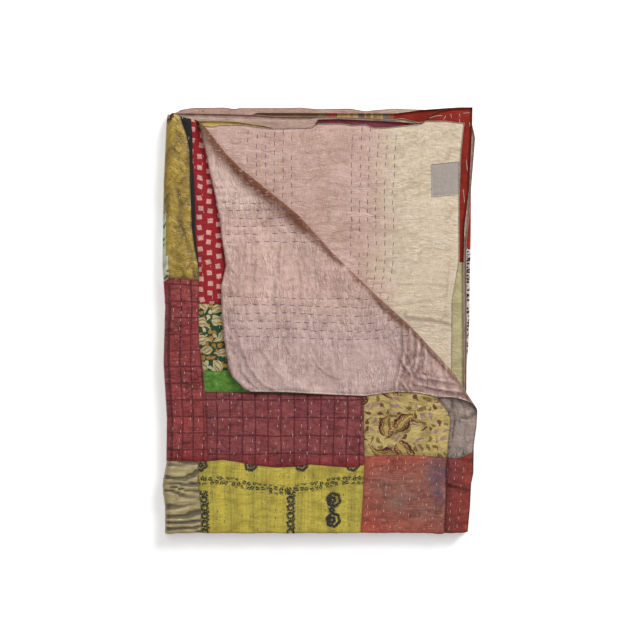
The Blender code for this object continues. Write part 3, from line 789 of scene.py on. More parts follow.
def add_node(tree, kind, *inputs, output=0, **named):
    """Adds a node, such as a "Math ADD", and gives one of its outputs. A name with a capital is an input,
    and any other is a setting."""
    kind, *operation = kind.split()
    made = tree.nodes.new("ShaderNode" + kind)
    if operation:
        made.operation = operation[0]
    for name in [name for name in named if name[0].islower()]:
        setattr(made, name, named.pop(name))
    connect(tree, made, dict(enumerate(inputs)) | named)
    return made.outputs[output]


def start_look(name):
    """A new material, and what adds nodes to it."""
    look = bpy.data.materials.new(name)
    look.use_nodes = True
    return look, partial(add_node, look.node_tree)


def finish_look(look, **inputs):
    """Sets the shader's inputs, which have _ for a space."""
    shader = look.node_tree.nodes["Principled BSDF"]
    connect(look.node_tree, shader, {name.replace("_", " "): value for name, value in inputs.items()})
    return look


def woven(name, pattern, *values, rough=0.85, sheen=0.15, gloss=0.2, thread=1.0, slub=0.10, fleck=None,
          crease=0.5, crush=0.3, drawn=(0.8, 1.3), fade=0.14, soil_and_shade=0.6, shade_colour="4a3226", painted_highlight=None,
          rib=None):
    """A cloth: threads both ways with slubs and flecks, fine creases and crushed facets, painted shade in its
    hollows, creases and valleys, and painted highlights on its crests. Its pattern gets what adds nodes, the
    flat place in mm, the two parts of that place and the values."""
    look, add = start_look(name)
    place = add("Mapping", add("UVMap", uv_map="Cloth"), Scale=(1000, 1000, 1000))
    across = add("SeparateXYZ", place)
    along = across.node.outputs[1]
    colour = pattern(add, place, across, along, *values)
    # Threads are 0.3 mm apart and would vanish, so slubs of about 1.5 mm by 12 mm stand for them.
    weft = add("Mapping", place, Scale=(0.09 / thread, 0.75 / thread, 1))
    warp = add("Mapping", place, Location=(31, 17, 5), Scale=(0.75 / thread, 0.07 / thread, 1))
    wefts, warps = (add("TexNoise", run, Scale=1, Detail=3, Roughness=0.6) for run in (weft, warp))
    threads = add("Math ADD", wefts, warps)
    worn = add("TexNoise", place, Scale=0.016, Detail=5, Roughness=0.62)
    shade = add("Math MULTIPLY", add("MapRange", threads, 0.65, 1.35, 1 - slub, 1 + slub),
                add("MapRange", worn, 0.3, 0.7, 1 - fade, 1 + fade))
    colour = add("VectorMath SCALE", colour, Scale=shade)
    if fleck:
        colour = add("MixRGB", add("MapRange", warps, 0.58, 0.74, 0, 0.6), colour, fleck)
    # Fine creases wander along one contour of a drawn-out noise, 22 mm by 6 mm, and come and go.
    drawn_out = add("Mapping", place, Scale=(0.045, 0.16, 1))
    creases = add("TexNoise", drawn_out, Scale=1, Detail=4, Roughness=0.55, Distortion=0.8)
    off_line = add("Math ABSOLUTE", add("Math SUBTRACT", creases, 0.5))
    line = add("MapRange", off_line, 0, 0.085, crease, 0, interpolation_type="SMOOTHSTEP")
    pinched = add("Math MULTIPLY", line, add("MapRange", worn, 0.40, 0.58, 0.15, 1))
    # Crushed facets, 26 mm and 11 mm across, meet in sharp valleys.
    swerve = add("TexNoise", place, Scale=0.05, Detail=3, output=1)
    swerved = add("VectorMath MULTIPLY_ADD", swerve, (24, 24, 0), place)
    facets, valleys = [], []
    for scale, share in ((0.038, 1.0), (0.09, 0.5)):
        tight = (scale * drawn[0], scale * drawn[1], 1)
        stretched = add("Mapping", swerved, Rotation=(0, 0, 0.35), Scale=tight)
        edge = add("TexVoronoi", stretched, Scale=1, Randomness=1, feature="DISTANCE_TO_EDGE")
        facets.append(add("MapRange", edge, 0, 0.42, 0, share, interpolation_type="SMOOTHERSTEP"))
        valleys.append(add("MapRange", edge, 0, 0.085, share, 0))
    here = add("MapRange", add("TexNoise", place, Scale=0.028, Detail=2), 0.38, 0.58, 0.15 * crush, crush)
    facets = add("Math MULTIPLY", add("Math ADD", *facets), here)
    valleys = add("Math MULTIPLY", add("Math MAXIMUM", *valleys), here)
    # Painted shade: the fine creases, the crushed facets' valleys and the mesh's hollows are darkened towards
    # a shade colour.
    sunk = add("Attribute", output=2, attribute_name="Hollow")
    in_valley = add("Math MULTIPLY_ADD", pinched, 0.45, add("Math MULTIPLY_ADD", valleys, 0.7, sunk))
    in_hollow = add("Math MULTIPLY", in_valley, soil_and_shade, use_clamp=True)
    hollow_shade = add("MixRGB", 0.35, add("MixRGB", 0.62, colour, shade_colour, blend_type="MULTIPLY"), shade_colour)
    # Painted highlight: the tops of the crushed facets, and the crests where the hollow is below 0, are
    # lightened.
    if painted_highlight:
        raised = add("Math ADD", add("MapRange", facets, 0.9 * crush, 1.4 * crush, 0, 0.45),
                     add("MapRange", sunk, 0, -1, 0, 1), use_clamp=True)
        colour = add("MixRGB", raised, colour, painted_highlight)
    colour = add("MixRGB", in_hollow, colour, hollow_shade)
    folds = add("Math SUBTRACT", add("Math MULTIPLY", creases, crease), add("Math MULTIPLY", pinched, 0.5))
    tall = add("Math MULTIPLY_ADD", threads, 0.16, add("Math ADD", facets, folds))
    if rib:
        ribs = add("Math SINE", add("Math MULTIPLY", along, 2 * pi / rib))
        tall = add("Math ADD", tall, add("Math MULTIPLY", ribs, 0.05))
    return finish_look(look, Base_Color=colour, Normal=add("Bump", Strength=1, Distance=0.0016, Height=tall),
                       Roughness=rough, Sheen_Weight=sheen, Sheen_Roughness=0.5, Specular_IOR_Level=gloss)


def curled_drops(add, place, size):
    """One curled drop in every cell of so many mm, each turned its own way: how far out a place is (1 on
    the outline), how far along from -1 to 1, and a random number for the whole drop."""
    chance = add("TexVoronoi", place, Scale=1 / size, Randomness=0.5, output=1)
    chances = add("SeparateXYZ", chance)
    spot = add("VectorMath SUBTRACT", place, chance.node.outputs[2])
    spun = add("VectorRotate", spot, Angle=add("Math MULTIPLY", chances, 2 * pi), rotation_type="Z_AXIS")
    beside = add("SeparateXYZ", add("VectorMath SCALE", spun, Scale=2.15 / size))
    up = beside.node.outputs[1]
    tip = add("Math POWER", add("Math MAXIMUM", up, 0), 2)
    curled = add("Math ABSOLUTE", add("Math MULTIPLY_ADD", tip, -1.1, beside))
    full = add("Math SQRT", add("Math MAXIMUM", add("Math ADD", up, 1), 0))
    wide = add("Math MULTIPLY", full, add("Math MULTIPLY_ADD", up, -0.5, 0.5))
    return add("Math DIVIDE", curled, add("Math MAXIMUM", wide, 0.012)), up, chances.node.outputs[1]


def band_at(add, value, middle, half, strength=1.0):
    """A line where a value is near its middle, as strong as it says."""
    off = add("Math ABSOLUTE", add("Math SUBTRACT", value, middle))
    return add("MapRange", off, half, 1.6 * half, strength, 0)


def dyed(add, place, across, along, light, dark, grain=0.05):
    """One colour whose dye took unevenly, mottled every 1 / grain mm."""
    blotch = add("TexNoise", place, Scale=grain, Detail=6, Roughness=0.65)
    return add("MixRGB", add("MapRange", blotch, 0.35, 0.65, 0, 1), dark, light)


def plaid(add, place, across, along, ground, shot, line, pitches, starts, foot):
    """A yarn-dyed check: thin dark lines on a ground shot with another colour, redder near its foot."""
    sway = add("MapRange", add("TexNoise", place, Scale=0.012, Detail=2), 0, 1, -5, 5)
    warm = add("TexNoise", place, Scale=0.05, Detail=6, Roughness=0.7)
    colour = add("MixRGB", add("MapRange", warm, 0.35, 0.65, 0, 1), ground, shot)
    colour = add("MixRGB", add("MapRange", along, foot + 26, foot, 0, 0.85), colour, "8b2226")
    lines = []
    for run, pitch, start, swayed in zip((across, along), pitches, starts, (0.4, 1)):
        moved = add("Math SUBTRACT", add("Math MULTIPLY_ADD", sway, swayed, run), start)
        beside = add("Math ABSOLUTE", add("Math WRAP", moved, pitch / 2, -pitch / 2))
        lines.append(add("MapRange", beside, 0.8, 1.9, 0.85, 0))
    return add("MixRGB", add("Math MAXIMUM", *lines), colour, line)


def red_squares(add, place, across, along):
    """Pale squares on red, in columns that step down from one to the next. Each is shaken and turned."""
    wide, tall = 17.0, 19.6
    bent = add("TexNoise", place, Scale=0.03, Detail=2)
    column = add("Math DIVIDE", add("Math MULTIPLY_ADD", bent, 6, across), wide)
    step = add("Math MULTIPLY", add("Math FLOOR", column), 0.34)
    row = add("Math ADD", add("Math DIVIDE", along, tall), step)
    cell = add("CombineXYZ", *(add("Math FLOOR", run) for run in (column, row)), 0)
    spot = add("CombineXYZ", *(add("Math SUBTRACT", add("Math FRACT", run), 0.5) for run in (column, row)), 0)
    shaken = add("VectorMath SUBTRACT", add("TexWhiteNoise", cell, output=1), (0.5, 0.5, 0.5))
    spot = add("VectorMath MULTIPLY_ADD", spot, (wide, tall, 0), add("VectorMath SCALE", shaken, Scale=3.2))
    turn = add("Math MULTIPLY", add("SeparateXYZ", shaken, output=2), 0.5)
    spun = add("SeparateXYZ", add("VectorRotate", spot, Angle=turn, rotation_type="Z_AXIS"))
    rim = add("Math MAXIMUM", *(add("Math ABSOLUTE", part) for part in spun.node.outputs[:2]))
    ragged = add("TexNoise", place, Scale=0.6, Detail=2)
    square = add("MapRange", add("Math MULTIPLY_ADD", ragged, 1.6, rim), 4.6, 5.8, 1, 0)
    pale = add("MixRGB", add("MapRange", ragged, 0.52, 0.64, 0, 0.55), "d8a59d", "a8444a")
    return add("MixRGB", square, "9c1c25", pale)


# Rings of the block print: the first one's middle across, the next one's distance, the same along, the
# ring's radius and half thickness, and the lowest and highest place along that it is printed at. They are
# chains that hang from the vine, half medallions on the seam, and the flowers between the chains.
PRINTED_RINGS = ((-482, 156, 0, 14.5, 5.4, 2.2, -30, 74), (-482, 156, 3, 14.5, 1.2, 1.6, -30, 74),
                 (-476, 156, 7, 14.5, 1.0, 1.9, -30, 74), (-216, 91.5, 120, 400, 9.6, 2.8, 92, 140),
                 (-216, 91.5, 120, 400, 3.2, 2.6, 92, 140), (-248, 624, 57, 36, 11.2, 3.0, 4, 74),
                 (-250, 624, 57, 36, 4.2, 3.2, 4, 74), (-251, 624, 39, 36, 3.2, 3.2, 30, 50))


def block_print(add, place, across, along):
    """Yellow slub cotton, block-printed in black with a vine, chains, half medallions and flowers."""
    stripe = add("TexNoise", add("Mapping", place, Scale=(0.22, 0.003, 1)), Scale=1, Detail=3, Roughness=0.7)
    broad = add("TexNoise", add("Mapping", place, Scale=(0.05, 0.001, 1)), Scale=1, Detail=1)
    bright = add("Math ADD", add("Math MULTIPLY", broad, 0.8), stripe)
    ground = add("MixRGB", add("MapRange", bright, 0.72, 1.08, 0, 1), "9f9341", "c5b148")
    ragged = add("TexNoise", place, Scale=0.55, Detail=3)
    wobble = add("MapRange", ragged, 0.25, 0.75, -2.6, 2.6)
    # The vine: leaves of about 7 mm crowd along a stem that sinks and rises by 10 mm.
    swing = add("Math COSINE", add("Math DIVIDE", add("Math ADD", across, 470), 41.4))
    from_vine = add("Math SUBTRACT", add("Math MULTIPLY_ADD", swing, -9, along), 84)
    leaf = curled_drops(add, place, 9.4)[0]
    leaves = add("Math SUBTRACT", add("MapRange", leaf, 1.35, 1.6, 1, 0), band_at(add, leaf, 0.1, 0.28, 0.5),
                 use_clamp=True)
    prints = [add("Math MULTIPLY", band_at(add, from_vine, 0, 6.2), leaves),
              band_at(add, add("Math ADD", wobble, from_vine), 0, 0.7, 0.5)]
    for start, pitch, level, rise_by, radius, thick, low, high in PRINTED_RINGS:
        beside = add("Math WRAP", add("Math SUBTRACT", across, start), pitch / 2, -pitch / 2)
        above = add("Math WRAP", add("Math SUBTRACT", along, level), rise_by / 2, -rise_by / 2)
        away = add("VectorMath LENGTH", add("CombineXYZ", beside, above, 0), output=1)
        angle = add("Math MULTIPLY", add("Math ARCTAN2", above, beside), 6)
        petals = add("Math MULTIPLY_ADD", add("Math SINE", angle), 0.7, wobble)
        off = add("Math ABSOLUTE", add("Math SUBTRACT", add("Math ADD", away, petals), radius))
        ring = add("MapRange", off, thick - 0.5, thick + 0.4, 1, 0)
        span = add("Math ABSOLUTE", add("Math SUBTRACT", along, (low + high) / 2))
        prints.append(add("Math MULTIPLY", ring, add("Math LESS_THAN", span, (high - low) / 2)))
    ink = reduce(partial(add, "Math MAXIMUM"), prints)
    ink = add("Math MULTIPLY", ink, add("MapRange", ragged, 0.30, 0.46, 0.55, 1.0))
    return add("MixRGB", ink, ground, "1f2129")


def bent_place(add, place, scale, reach):
    """The flat place, moved about by so many mm, so that a print isn't regular."""
    bend = add("TexNoise", place, Scale=scale, Detail=2, output=1)
    return add("VectorMath MULTIPLY_ADD", bend, (reach, reach, 0), place)


def paisley(add, place, across, along):
    """Straw cotton, printed with curled drops in toothed maroon outline, olive leaves and lilac sprigs."""
    bent = bent_place(add, place, 0.04, 22)
    leaf, _, chance = curled_drops(add, bent, 14.5)
    leaf_in = add("MapRange", leaf, 0.75, 1.0, 0.9, 0)
    colour = "bfa869"
    for low, high, code in ((0, 0.34, "7a6434"), (0.34, 0.55, "a07a7c"), (0.55, 0.86, "62282a")):
        picked = add("Math COMPARE", chance, (low + high) / 2, (high - low) / 2)
        colour = add("MixRGB", add("Math MULTIPLY", leaf_in, picked), colour, code)
    drop, up, chance = curled_drops(add, add("VectorMath ADD", bent, (11, 23, 0)), 54)
    printed = add("Math GREATER_THAN", chance, 0.22)
    tooth = add("Math SINE", add("Math MULTIPLY", up, 34))
    toothed = band_at(add, add("Math MULTIPLY_ADD", tooth, 0.08, drop), 0.68, 0.08)
    for mark, code in ((add("MapRange", drop, 1.05, 1.15, 1, 0), "b59a58"),
                       (band_at(add, drop, 0.36, 0.07), "7a5a30"), (toothed, "74362f"),
                       (band_at(add, drop, 0.93, 0.10), "4e1c20")):
        colour = add("MixRGB", add("Math MULTIPLY", mark, printed), colour, code)
    return colour


def scroll_print(add, place, across, along, ground, scroll, fill, size):
    """Curled leaves all over in two colours on a dark ground."""
    bent = bent_place(add, place, 0.05, 12)
    leaf, _, chance = curled_drops(add, bent, 0.42 * size)
    small = add("MixRGB", add("Math LESS_THAN", chance, 0.55), scroll, fill)
    colour = add("MixRGB", add("MapRange", leaf, 1.05, 1.35, 1, 0), ground, small)
    drop = curled_drops(add, add("VectorMath ADD", bent, (5, 17, 0)), size)[0]
    colour = add("MixRGB", add("MapRange", drop, 1.2, 1.3, 1, 0), colour, ground)
    for middle, half, code in ((0.92, 0.18, scroll), (0.50, 0.10, fill), (0, 0.27, scroll)):
        colour = add("MixRGB", band_at(add, drop, middle, half), colour, code)
    return colour


# Blots where another colour ran: across, along and reach in mm, then how strong, and its colour if it
# isn't the stain's.
BLOTS = (((-158, 92), 70, 0.6, None), ((-130, 54), 78, 0.8, None), ((-66, 66), 90, 0.6, None),
         ((-62, 112), 60, 0.8, None), ((-52, 108), 42, 0.9, "3d3a5e"), ((-56, 30), 70, 0.5, None),
         ((-56, 62), 36, 0.45, "4a4460"))


def stained(add, place, across, along, light, dark, stain, amount):
    """A coral dye, worn and pilled, with grey and blue blots."""
    worn = add("TexNoise", place, Scale=0.22, Detail=7, Roughness=0.75)
    broad = add("TexNoise", place, Scale=0.03, Detail=5, Roughness=0.7)
    colour = add("MixRGB", add("MapRange", add("Math ADD", worn, broad), 0.82, 1.16, 0, 1), light, dark)
    for at, reach, strength, code in BLOTS:
        away = add("VectorMath DISTANCE", place, (*at, 0), output=1)
        ragged = add("Math MULTIPLY_ADD", broad, 110, away)
        blot = add("MapRange", ragged, 52, 52 + reach, strength * amount, 0)
        colour = add("MixRGB", blot, colour, code or stain)
    return colour


def spotted(add, place, across, along, ground, spot, scale, size):
    """Irregular spots of one colour."""
    spots = add("TexVoronoi", place, Scale=scale, Randomness=0.9)
    return add("MixRGB", add("MapRange", spots, size, size + 0.08, 1, 0), ground, spot)


# The yarn-dyed bands fill this stretch across. Each band's number is where it starts, counted in mm from
# the tenth mm of the stretch, and it keeps its colour up to the next.
BANDS_FROM, BANDS_TO = -966, -816
BANDS = ((-10, "9a5236"), (2, "66706f"), (13, "b08e58"), (25, "8d8a44"), (29, "b29358"), (34, "8d8a44"),
         (41, "b5864e"), (46, "5d6668"), (57, "c0935e"), (95, "5a3a26"), (97, "ac3a30"), (115, "72703a"),
         (128, "6f5a2e"))


def striped(add, place, across, along):
    """Yarn-dyed bands 4 to 38 mm wide, beside thin brown and olive stripes of about 3 mm."""
    thin = add("TexNoise", add("Mapping", place, Scale=(0.3, 0.003, 1)), Scale=1, Detail=2)
    bands = add("ValToRGB", add("MapRange", across, BANDS_FROM, BANDS_TO, 0, 1))
    ramp = bands.node.color_ramp
    ramp.interpolation = "CONSTANT"
    ramp.elements[0].color, ramp.elements[1].color = linear(BANDS[0][1]), linear(BANDS[-1][1])
    for edge, code in BANDS[1:]:
        ramp.elements.new((edge - BANDS[0][0]) / (BANDS_TO - BANDS_FROM)).color = linear(code)
    return add("MixRGB", add("MapRange", thin, 0.42, 0.60, 0, 0.55), bands, "6a4028")


def voile(add, place, across, along, light, dark, turned=0, cream=None):
    """A thin plain dye that has bled unevenly, browner in fine streaks, with painted shade along the crease
    of the turned corner. Turned says how wide that shade is, and cream is what the right side has bleached
    to."""
    cloudy = add("TexNoise", place, Scale=0.013, Detail=5, Roughness=0.6)
    colour = add("MixRGB", add("MapRange", cloudy, 0.34, 0.66, 0, 1), light, dark)
    drawn_out = add("Mapping", place, Scale=(0.10, 0.06, 1) if turned else (0.035, 0.16, 1))
    fine = add("TexNoise", drawn_out, Scale=1, Detail=4, Roughness=0.6, Distortion=0.6)
    colour = add("MixRGB", add("MapRange", fine, 0.53, 0.72, 0, 0.5), colour, "a87a6a")
    if cream:
        # The sun has bleached the right third, and it is darker towards the top edge.
        world = add("SeparateXYZ", add("TexCoord", output=3))
        rightward = add("Math ADD", world, add("MapRange", cloudy, 0.3, 0.7, -0.025, 0.025))
        bleached = add("MapRange", rightward, 0.06, 0.165, 0, 1, interpolation_type="SMOOTHSTEP")
        pale = add("MixRGB", add("MapRange", fine, 0.52, 0.8, 0, 0.6), cream, "b79c66")
        colour = add("MixRGB", bleached, colour, pale)
        darker_top = add("MapRange", world.node.outputs[1], 0.354, 0.372, 0, 0.45)
        colour = add("MixRGB", darker_top, colour, "9a6c5c")
    if turned:
        # Two paler patches near the crease: their middles on the board, and their reach in mm.
        for column, row, reach in ((224, 168, 44), (238, 200, 50)):
            patch = 1000 * (CREASE_HEIGHT - from_board([(column, row)])[0][::-1])
            away = add("VectorMath DISTANCE", place, (*patch, 0), output=1)
            ragged = add("Math MULTIPLY_ADD", cloudy, 60, away)
            pale = add("MapRange", ragged, 26, 30 + reach, 0.65, 0, interpolation_type="SMOOTHSTEP")
            colour = add("MixRGB", pale, colour, "dfcabc")
        if turned == 1:  # the corner is greyer towards the satin
            colour = add("MixRGB", add("MapRange", across, -175, -100, 0, 0.38), colour, "a99a9a")
        # The painted shade along the crease is ragged, and twice as wide and redder where it is lower.
        past = add("Math SUBTRACT", add("Math ADD", across, along), 1000 * CREASE_HEIGHT)
        uneven = add("MapRange", cloudy, 0.3, 0.7, -9 * turned, 9 * turned)
        ragged = add("Math ADD", add("Math MULTIPLY", past, sqrt(0.5)), uneven)
        lower = add("MapRange", along, 500, 620, 0, 1)
        width = add("Math MULTIPLY_ADD", lower, 30.0 * turned, 18.0 * turned)
        inward = add("Math DIVIDE", ragged, width)
        band = add("MapRange", inward, 0.40, 1, 1, 0, interpolation_type="SMOOTHSTEP")
        colour = add("MixRGB", band, colour, add("MixRGB", lower, "75503f", "683a24"))
    return colour


# What the two plaids have in common, and the two corals.
CHECKED = dict(rough=0.7, sheen=0.2, slub=0.2, crease=0.7, fade=0.16, soil_and_shade=1.0, shade_colour="3c1418",
               fleck="b08078", crush=0.5)
PILLED = dict(slub=0.22, fade=0.1, soil_and_shade=0.8, fleck="c08a7c", shade_colour="3e1a16")
# Every cloth of the quilt: its pattern, the pattern's values, and how it is woven, has worn and is painted
# with shade.
LOOKS = {
    # Yarn-dyed handloom cotton: a shot ground, so it shifts from maroon to mauve.
    "plaid_cotton": (plaid, ("803436", "934c4d", "58141c", (23.4, 32.4), (-204, 237), 118), CHECKED),
    "plaid_column": (plaid, ("8a3031", "9a4845", "5a141b", (19.0, 29.8), (-486, 237), 128), CHECKED),
    # Dupioni silk: crushed, with a soft gloss and a painted highlight on every crumple, and painted shade
    # between.
    "olive_silk": (dyed, ("b59730", "967822", 0.03), dict(
        rough=0.42, crease=0.6, fade=0.2, soil_and_shade=1.0, shade_colour="2e1e08", painted_highlight="cdb955", gloss=0.5, crush=0.8,
        drawn=(1.1, 0.7))),
    # Plain and printed cottons: matt, with slubs that show.
    "black_cotton": (dyed, ("2a2729", "141214", 0.4), dict(slub=0.3)),
    "red_squares": (red_squares, (), dict(rough=0.8, fade=0.08)),
    "scroll_print": (scroll_print, ("26452c", "c3b78e", "a87d38", 28), dict(rough=0.8, sheen=0.1)),
    "brown_triangle": (scroll_print, ("361c14", "93803f", "6c3424", 17), dict(rough=0.8, sheen=0.1)),
    "leaf_green_cotton": (dyed, ("6a963a", "3a6a26", 0.08), dict(slub=0.14, fade=0.2)),
    "yellow_block_print": (block_print, (), dict(
        rough=0.82, sheen=0.1, slub=0.2, crease=0.35, fade=0.1, shade_colour="5a4a1c")),
    "paisley_print": (paisley, (), dict(rough=0.8, sheen=0.1, crease=0.6, soil_and_shade=0.8)),
    "coral_cotton": (stained, ("c0553f", "9a4638", "7c665c", 0.85), PILLED),
    "red_coral_cotton": (stained, ("9a3a2b", "6f2e2b", "6b4440", 0.3), PILLED),
    "yellow_green_cotton": (dyed, ("beb487", "a69a72"), {}),
    "spotted_cotton": (spotted, ("b9aca4", "1d1a1c", 0.24, 0.47), {}),
    "striped_ikat": (striped, (), {}),
    "pale_leaf_print": (spotted, ("cfd3bc", "59633f", 0.10, 0.3), {}),
    # Satin: floats of silk that lie flat and shine along the folds, with painted highlights on them and
    # painted shade between.
    "gold_satin": (dyed, ("b6a470", "94825a", 0.02), dict(
        rough=0.30, sheen=0.1, slub=0.04, crease=0.15, fade=0.12, soil_and_shade=1.6, shade_colour="1c1404", painted_highlight="f4e8c6",
        gloss=0.6, drawn=(0.4, 1.6))),
    "grey_satin": (dyed, ("9e8b80", "8c7a70", 0.03), dict(
        rough=0.4, sheen=0.1, slub=0.06, soil_and_shade=1.1, shade_colour="46302a", painted_highlight="c2b5aa", gloss=0.5, crush=0.8,
        drawn=(1.6, 0.5))),
    # Plain silk, which shows at the edges of the lower layers.
    "rust_silk": (dyed, ("8f2a18", "751c12", 0.03), dict(rough=0.6, sheen=0.05, slub=0.16, gloss=0.12)),
    "maroon_silk": (dyed, ("7a2f38", "5e1f28", 0.04), dict(rough=0.6, slub=0.2)),
    "yellow_green_silk": (dyed, ("d3b45c", "bb9b4a"), dict(rough=0.5, gloss=0.4)),
    # The thin cotton voile of the back, and its lower end of satin: no slubs, a soft gloss, and long folds.
    "pink_voile": (voile, ("dabaae", "c9a79b", 1), dict(
        slub=0.14, crease=0.85, soil_and_shade=0.45, shade_colour="6b4438", fleck="e6d6cc", fade=0.05, crush=0.5,
        drawn=(0.7, 1.6))),
    "faded_voile": (voile, ("cdaea2", "bb988c", 0, "d2c2aa"), dict(
        slub=0.18, crease=0.45, shade_colour="80563e", fleck="e4d6c8", fade=0.06, drawn=(0.5, 1.5))),
    # The satin's folds get painted highlights.
    "mauve_satin": (voile, ("d8b9af", "c4a197", 0.6), dict(
        rough=0.42, slub=0.06, crease=0.6, soil_and_shade=0.7, shade_colour="5a2e24", painted_highlight="ead9d2", gloss=0.35, crush=0.8,
        drawn=(0.5, 1.4))),
    "peach_cotton": (voile, ("bfa394", "aa8e80"), {}),
}
CLOTHS = tuple(LOOKS)


def make_piece(name, places, faces):
    """A smooth mesh object at the origin."""
    mesh = bpy.data.meshes.new(name)
    mesh.from_pydata(np.asarray(places).tolist(), [], faces)
    mesh.shade_smooth()
    piece = bpy.data.objects.new(name, mesh)
    bpy.context.scene.collection.objects.link(piece)
    return piece


def add_map(piece, name, corner_places):
    """Gives a piece a map, with a place for each corner of each face."""
    piece.data.uv_layers.new(name=name).uv.foreach_set("vector", corner_places.astype(np.float32).ravel())


def corners_of(piece):
    """The number of the vertex at each corner of each face."""
    corners = np.empty(len(piece.data.loops), np.int32)
    piece.data.loops.foreach_get("vertex_index", corners)
    return corners


places, faces, cloths, fronts, flats, hollows = build_sheet()
quilt = make_piece("kantha_sheet", places, faces)
for name, (pattern, values, finish) in LOOKS.items():
    quilt.data.materials.append(woven(name, pattern, *values, **finish))
quilt.data.polygons.foreach_set("material_index", np.array(cloths, np.int32))
# Each point's hollow: the cloths darken it as painted shade, and lighten crests below 0 as painted
# highlights.
quilt.data.attributes.new("Hollow", "FLOAT", "POINT").data.foreach_set("value", hollows.astype(np.float32))

# Stretches of the flat sheet from its free edge and its top edge on, and the room they have in the map.
STRETCHES_ACROSS = (0.01, -0.05, -0.52, -0.59, -1.06, -1.13, -1.61, -1.69, -2.15, -2.22)
STRETCHES_ALONG = (0.767, 0.70, 0.02, -0.025, -0.70, -0.772)
EDGE_SHARE, INNER_SHARE = 0.5, 0.06
ROOM_ACROSS, ROOM_ALONG = 0.27, 0.21
SECOND_SCALE, UNDER_SCALE = 0.812, 0.565


def bake_places(corner_flats, sizes, fronts):
    """A second map, on which what is in sight has most of the room, in shares of a square metre.

    The top layer lies at full size, its front before the crease and its back past it. The second layer's
    back and the underside are a little smaller. All that is folded in is drawn together, except near the
    edges and folds, where it shows from the side."""
    starts = np.cumsum(sizes) - sizes
    x, y = (np.add.reduceat(corner_flats, starts) / sizes[:, None]).T
    top, front, within = on_top(x, y), np.array(fronts), from_edge(x, y) > 0
    past = past_crease(*lay(x, y)[:2])
    left, low = -PANEL_WIDTH - SIDE_ARC / 2, -BOTTOM_ARC / 2
    far_left = END_FOLD_X - END_ARC / 2
    at_top = top & (front == (past < -0.006)) & within
    at_second = ~top & ~front & (x > -PANEL_WIDTH) & (past > -0.016) & within
    under = front & (x < left) & (x > far_left) & (y > low) & within
    chart = np.repeat(np.select([at_top, at_second, under, front], [0, 1, 2, 3], 4), sizes)
    x, y = corner_flats.T
    folded_in = []
    for part, stops, room in ((x, STRETCHES_ACROSS, ROOM_ACROSS), (y, STRETCHES_ALONG, ROOM_ALONG)):
        shares = np.where(np.arange(len(stops) - 1) % 2 == 0, EDGE_SHARE, INNER_SHARE) * -np.diff(stops)
        run = np.concatenate([[0], np.cumsum(shares)]) * room / shares.sum()
        folded_in.append(np.interp(part, stops[::-1], run[::-1]))
    beside, down = folded_in[0], 0.998 - folded_in[1]
    past_second = 0.024 - y - BOTTOM_ARC - CREASE_HEIGHT
    u = (x - left + 0.003, 0.998 + SECOND_SCALE * x, 0.566 + UNDER_SCALE * (x - far_left), 0.002 + beside,
         0.280 + beside)
    v = (y - low + 0.003, 0.004 + SECOND_SCALE * past_second, 0.455 + UNDER_SCALE * (y - low), down, down)
    return np.array([np.choose(chart, u), np.choose(chart, v)]).T


quilt_corners = flats[corners_of(quilt)]
add_map(quilt, "Cloth", quilt_corners)
add_map(quilt, "OFBake", bake_places(quilt_corners, np.array([len(face) for face in faces]), fronts))
quilt.data.uv_layers.active = quilt.data.uv_layers["Cloth"]
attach(quilt, "root")
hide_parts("quilt")

# ---- The running stitches ---------------------------------------------------------------------
# Two-ply cotton thread, about 0.7 mm thick, sewn by hand in rows through the whole cloth. Most rows are
# white, and two bands of six are violet. Each stitch dips into the cloth at both of its ends.

ROWS, VIOLET_ROWS = 38, (*range(6, 12), *range(18, 24))
FRONT_STEP, BACK_STEP = 0.0150, 0.0172  # from one stitch to the next
THREAD_SIDES = 4
STATIONS = np.array((-0.5, -0.34, 0, 0.34, 0.5))  # along a stitch, in its length
THREAD_LIFT = np.array((-0.9, 0.45, 0.75, 0.45, -0.9))  # how high each station lies, in the thread's radius
FINE, LOOSE, COARSE = 0.00036, 0.00040, 0.00042  # the threads' radii
CLEAR_OF_SEAM, CLEAR_OF_FOLD, CLEAR_OF_HEM = 0.003, 0.004, 0.006
CLEAR_OF_LABEL = (0.028, 0.034)  # from its middle, across and along
# How likely a stitch is to show on each cloth that hides some of them, and on all the rest.
SHOWING = {"olive_silk": 0.12, "gold_satin": 0.03, "grey_satin": 0.2, "mauve_satin": 0.3,
           "black_cotton": 0.35, "scroll_print": 0.4, "leaf_green_cotton": 0.15, "red_squares": 0.35,
           "paisley_print": 0.5, "yellow_block_print": 0.45, "brown_triangle": 0.1, "plaid_cotton": 0.62,
           "plaid_column": 0.7}
SHOWING_FRONT, SHOWING_VIOLET, SHOWING_BACK = 0.8, 0.95, 0.6


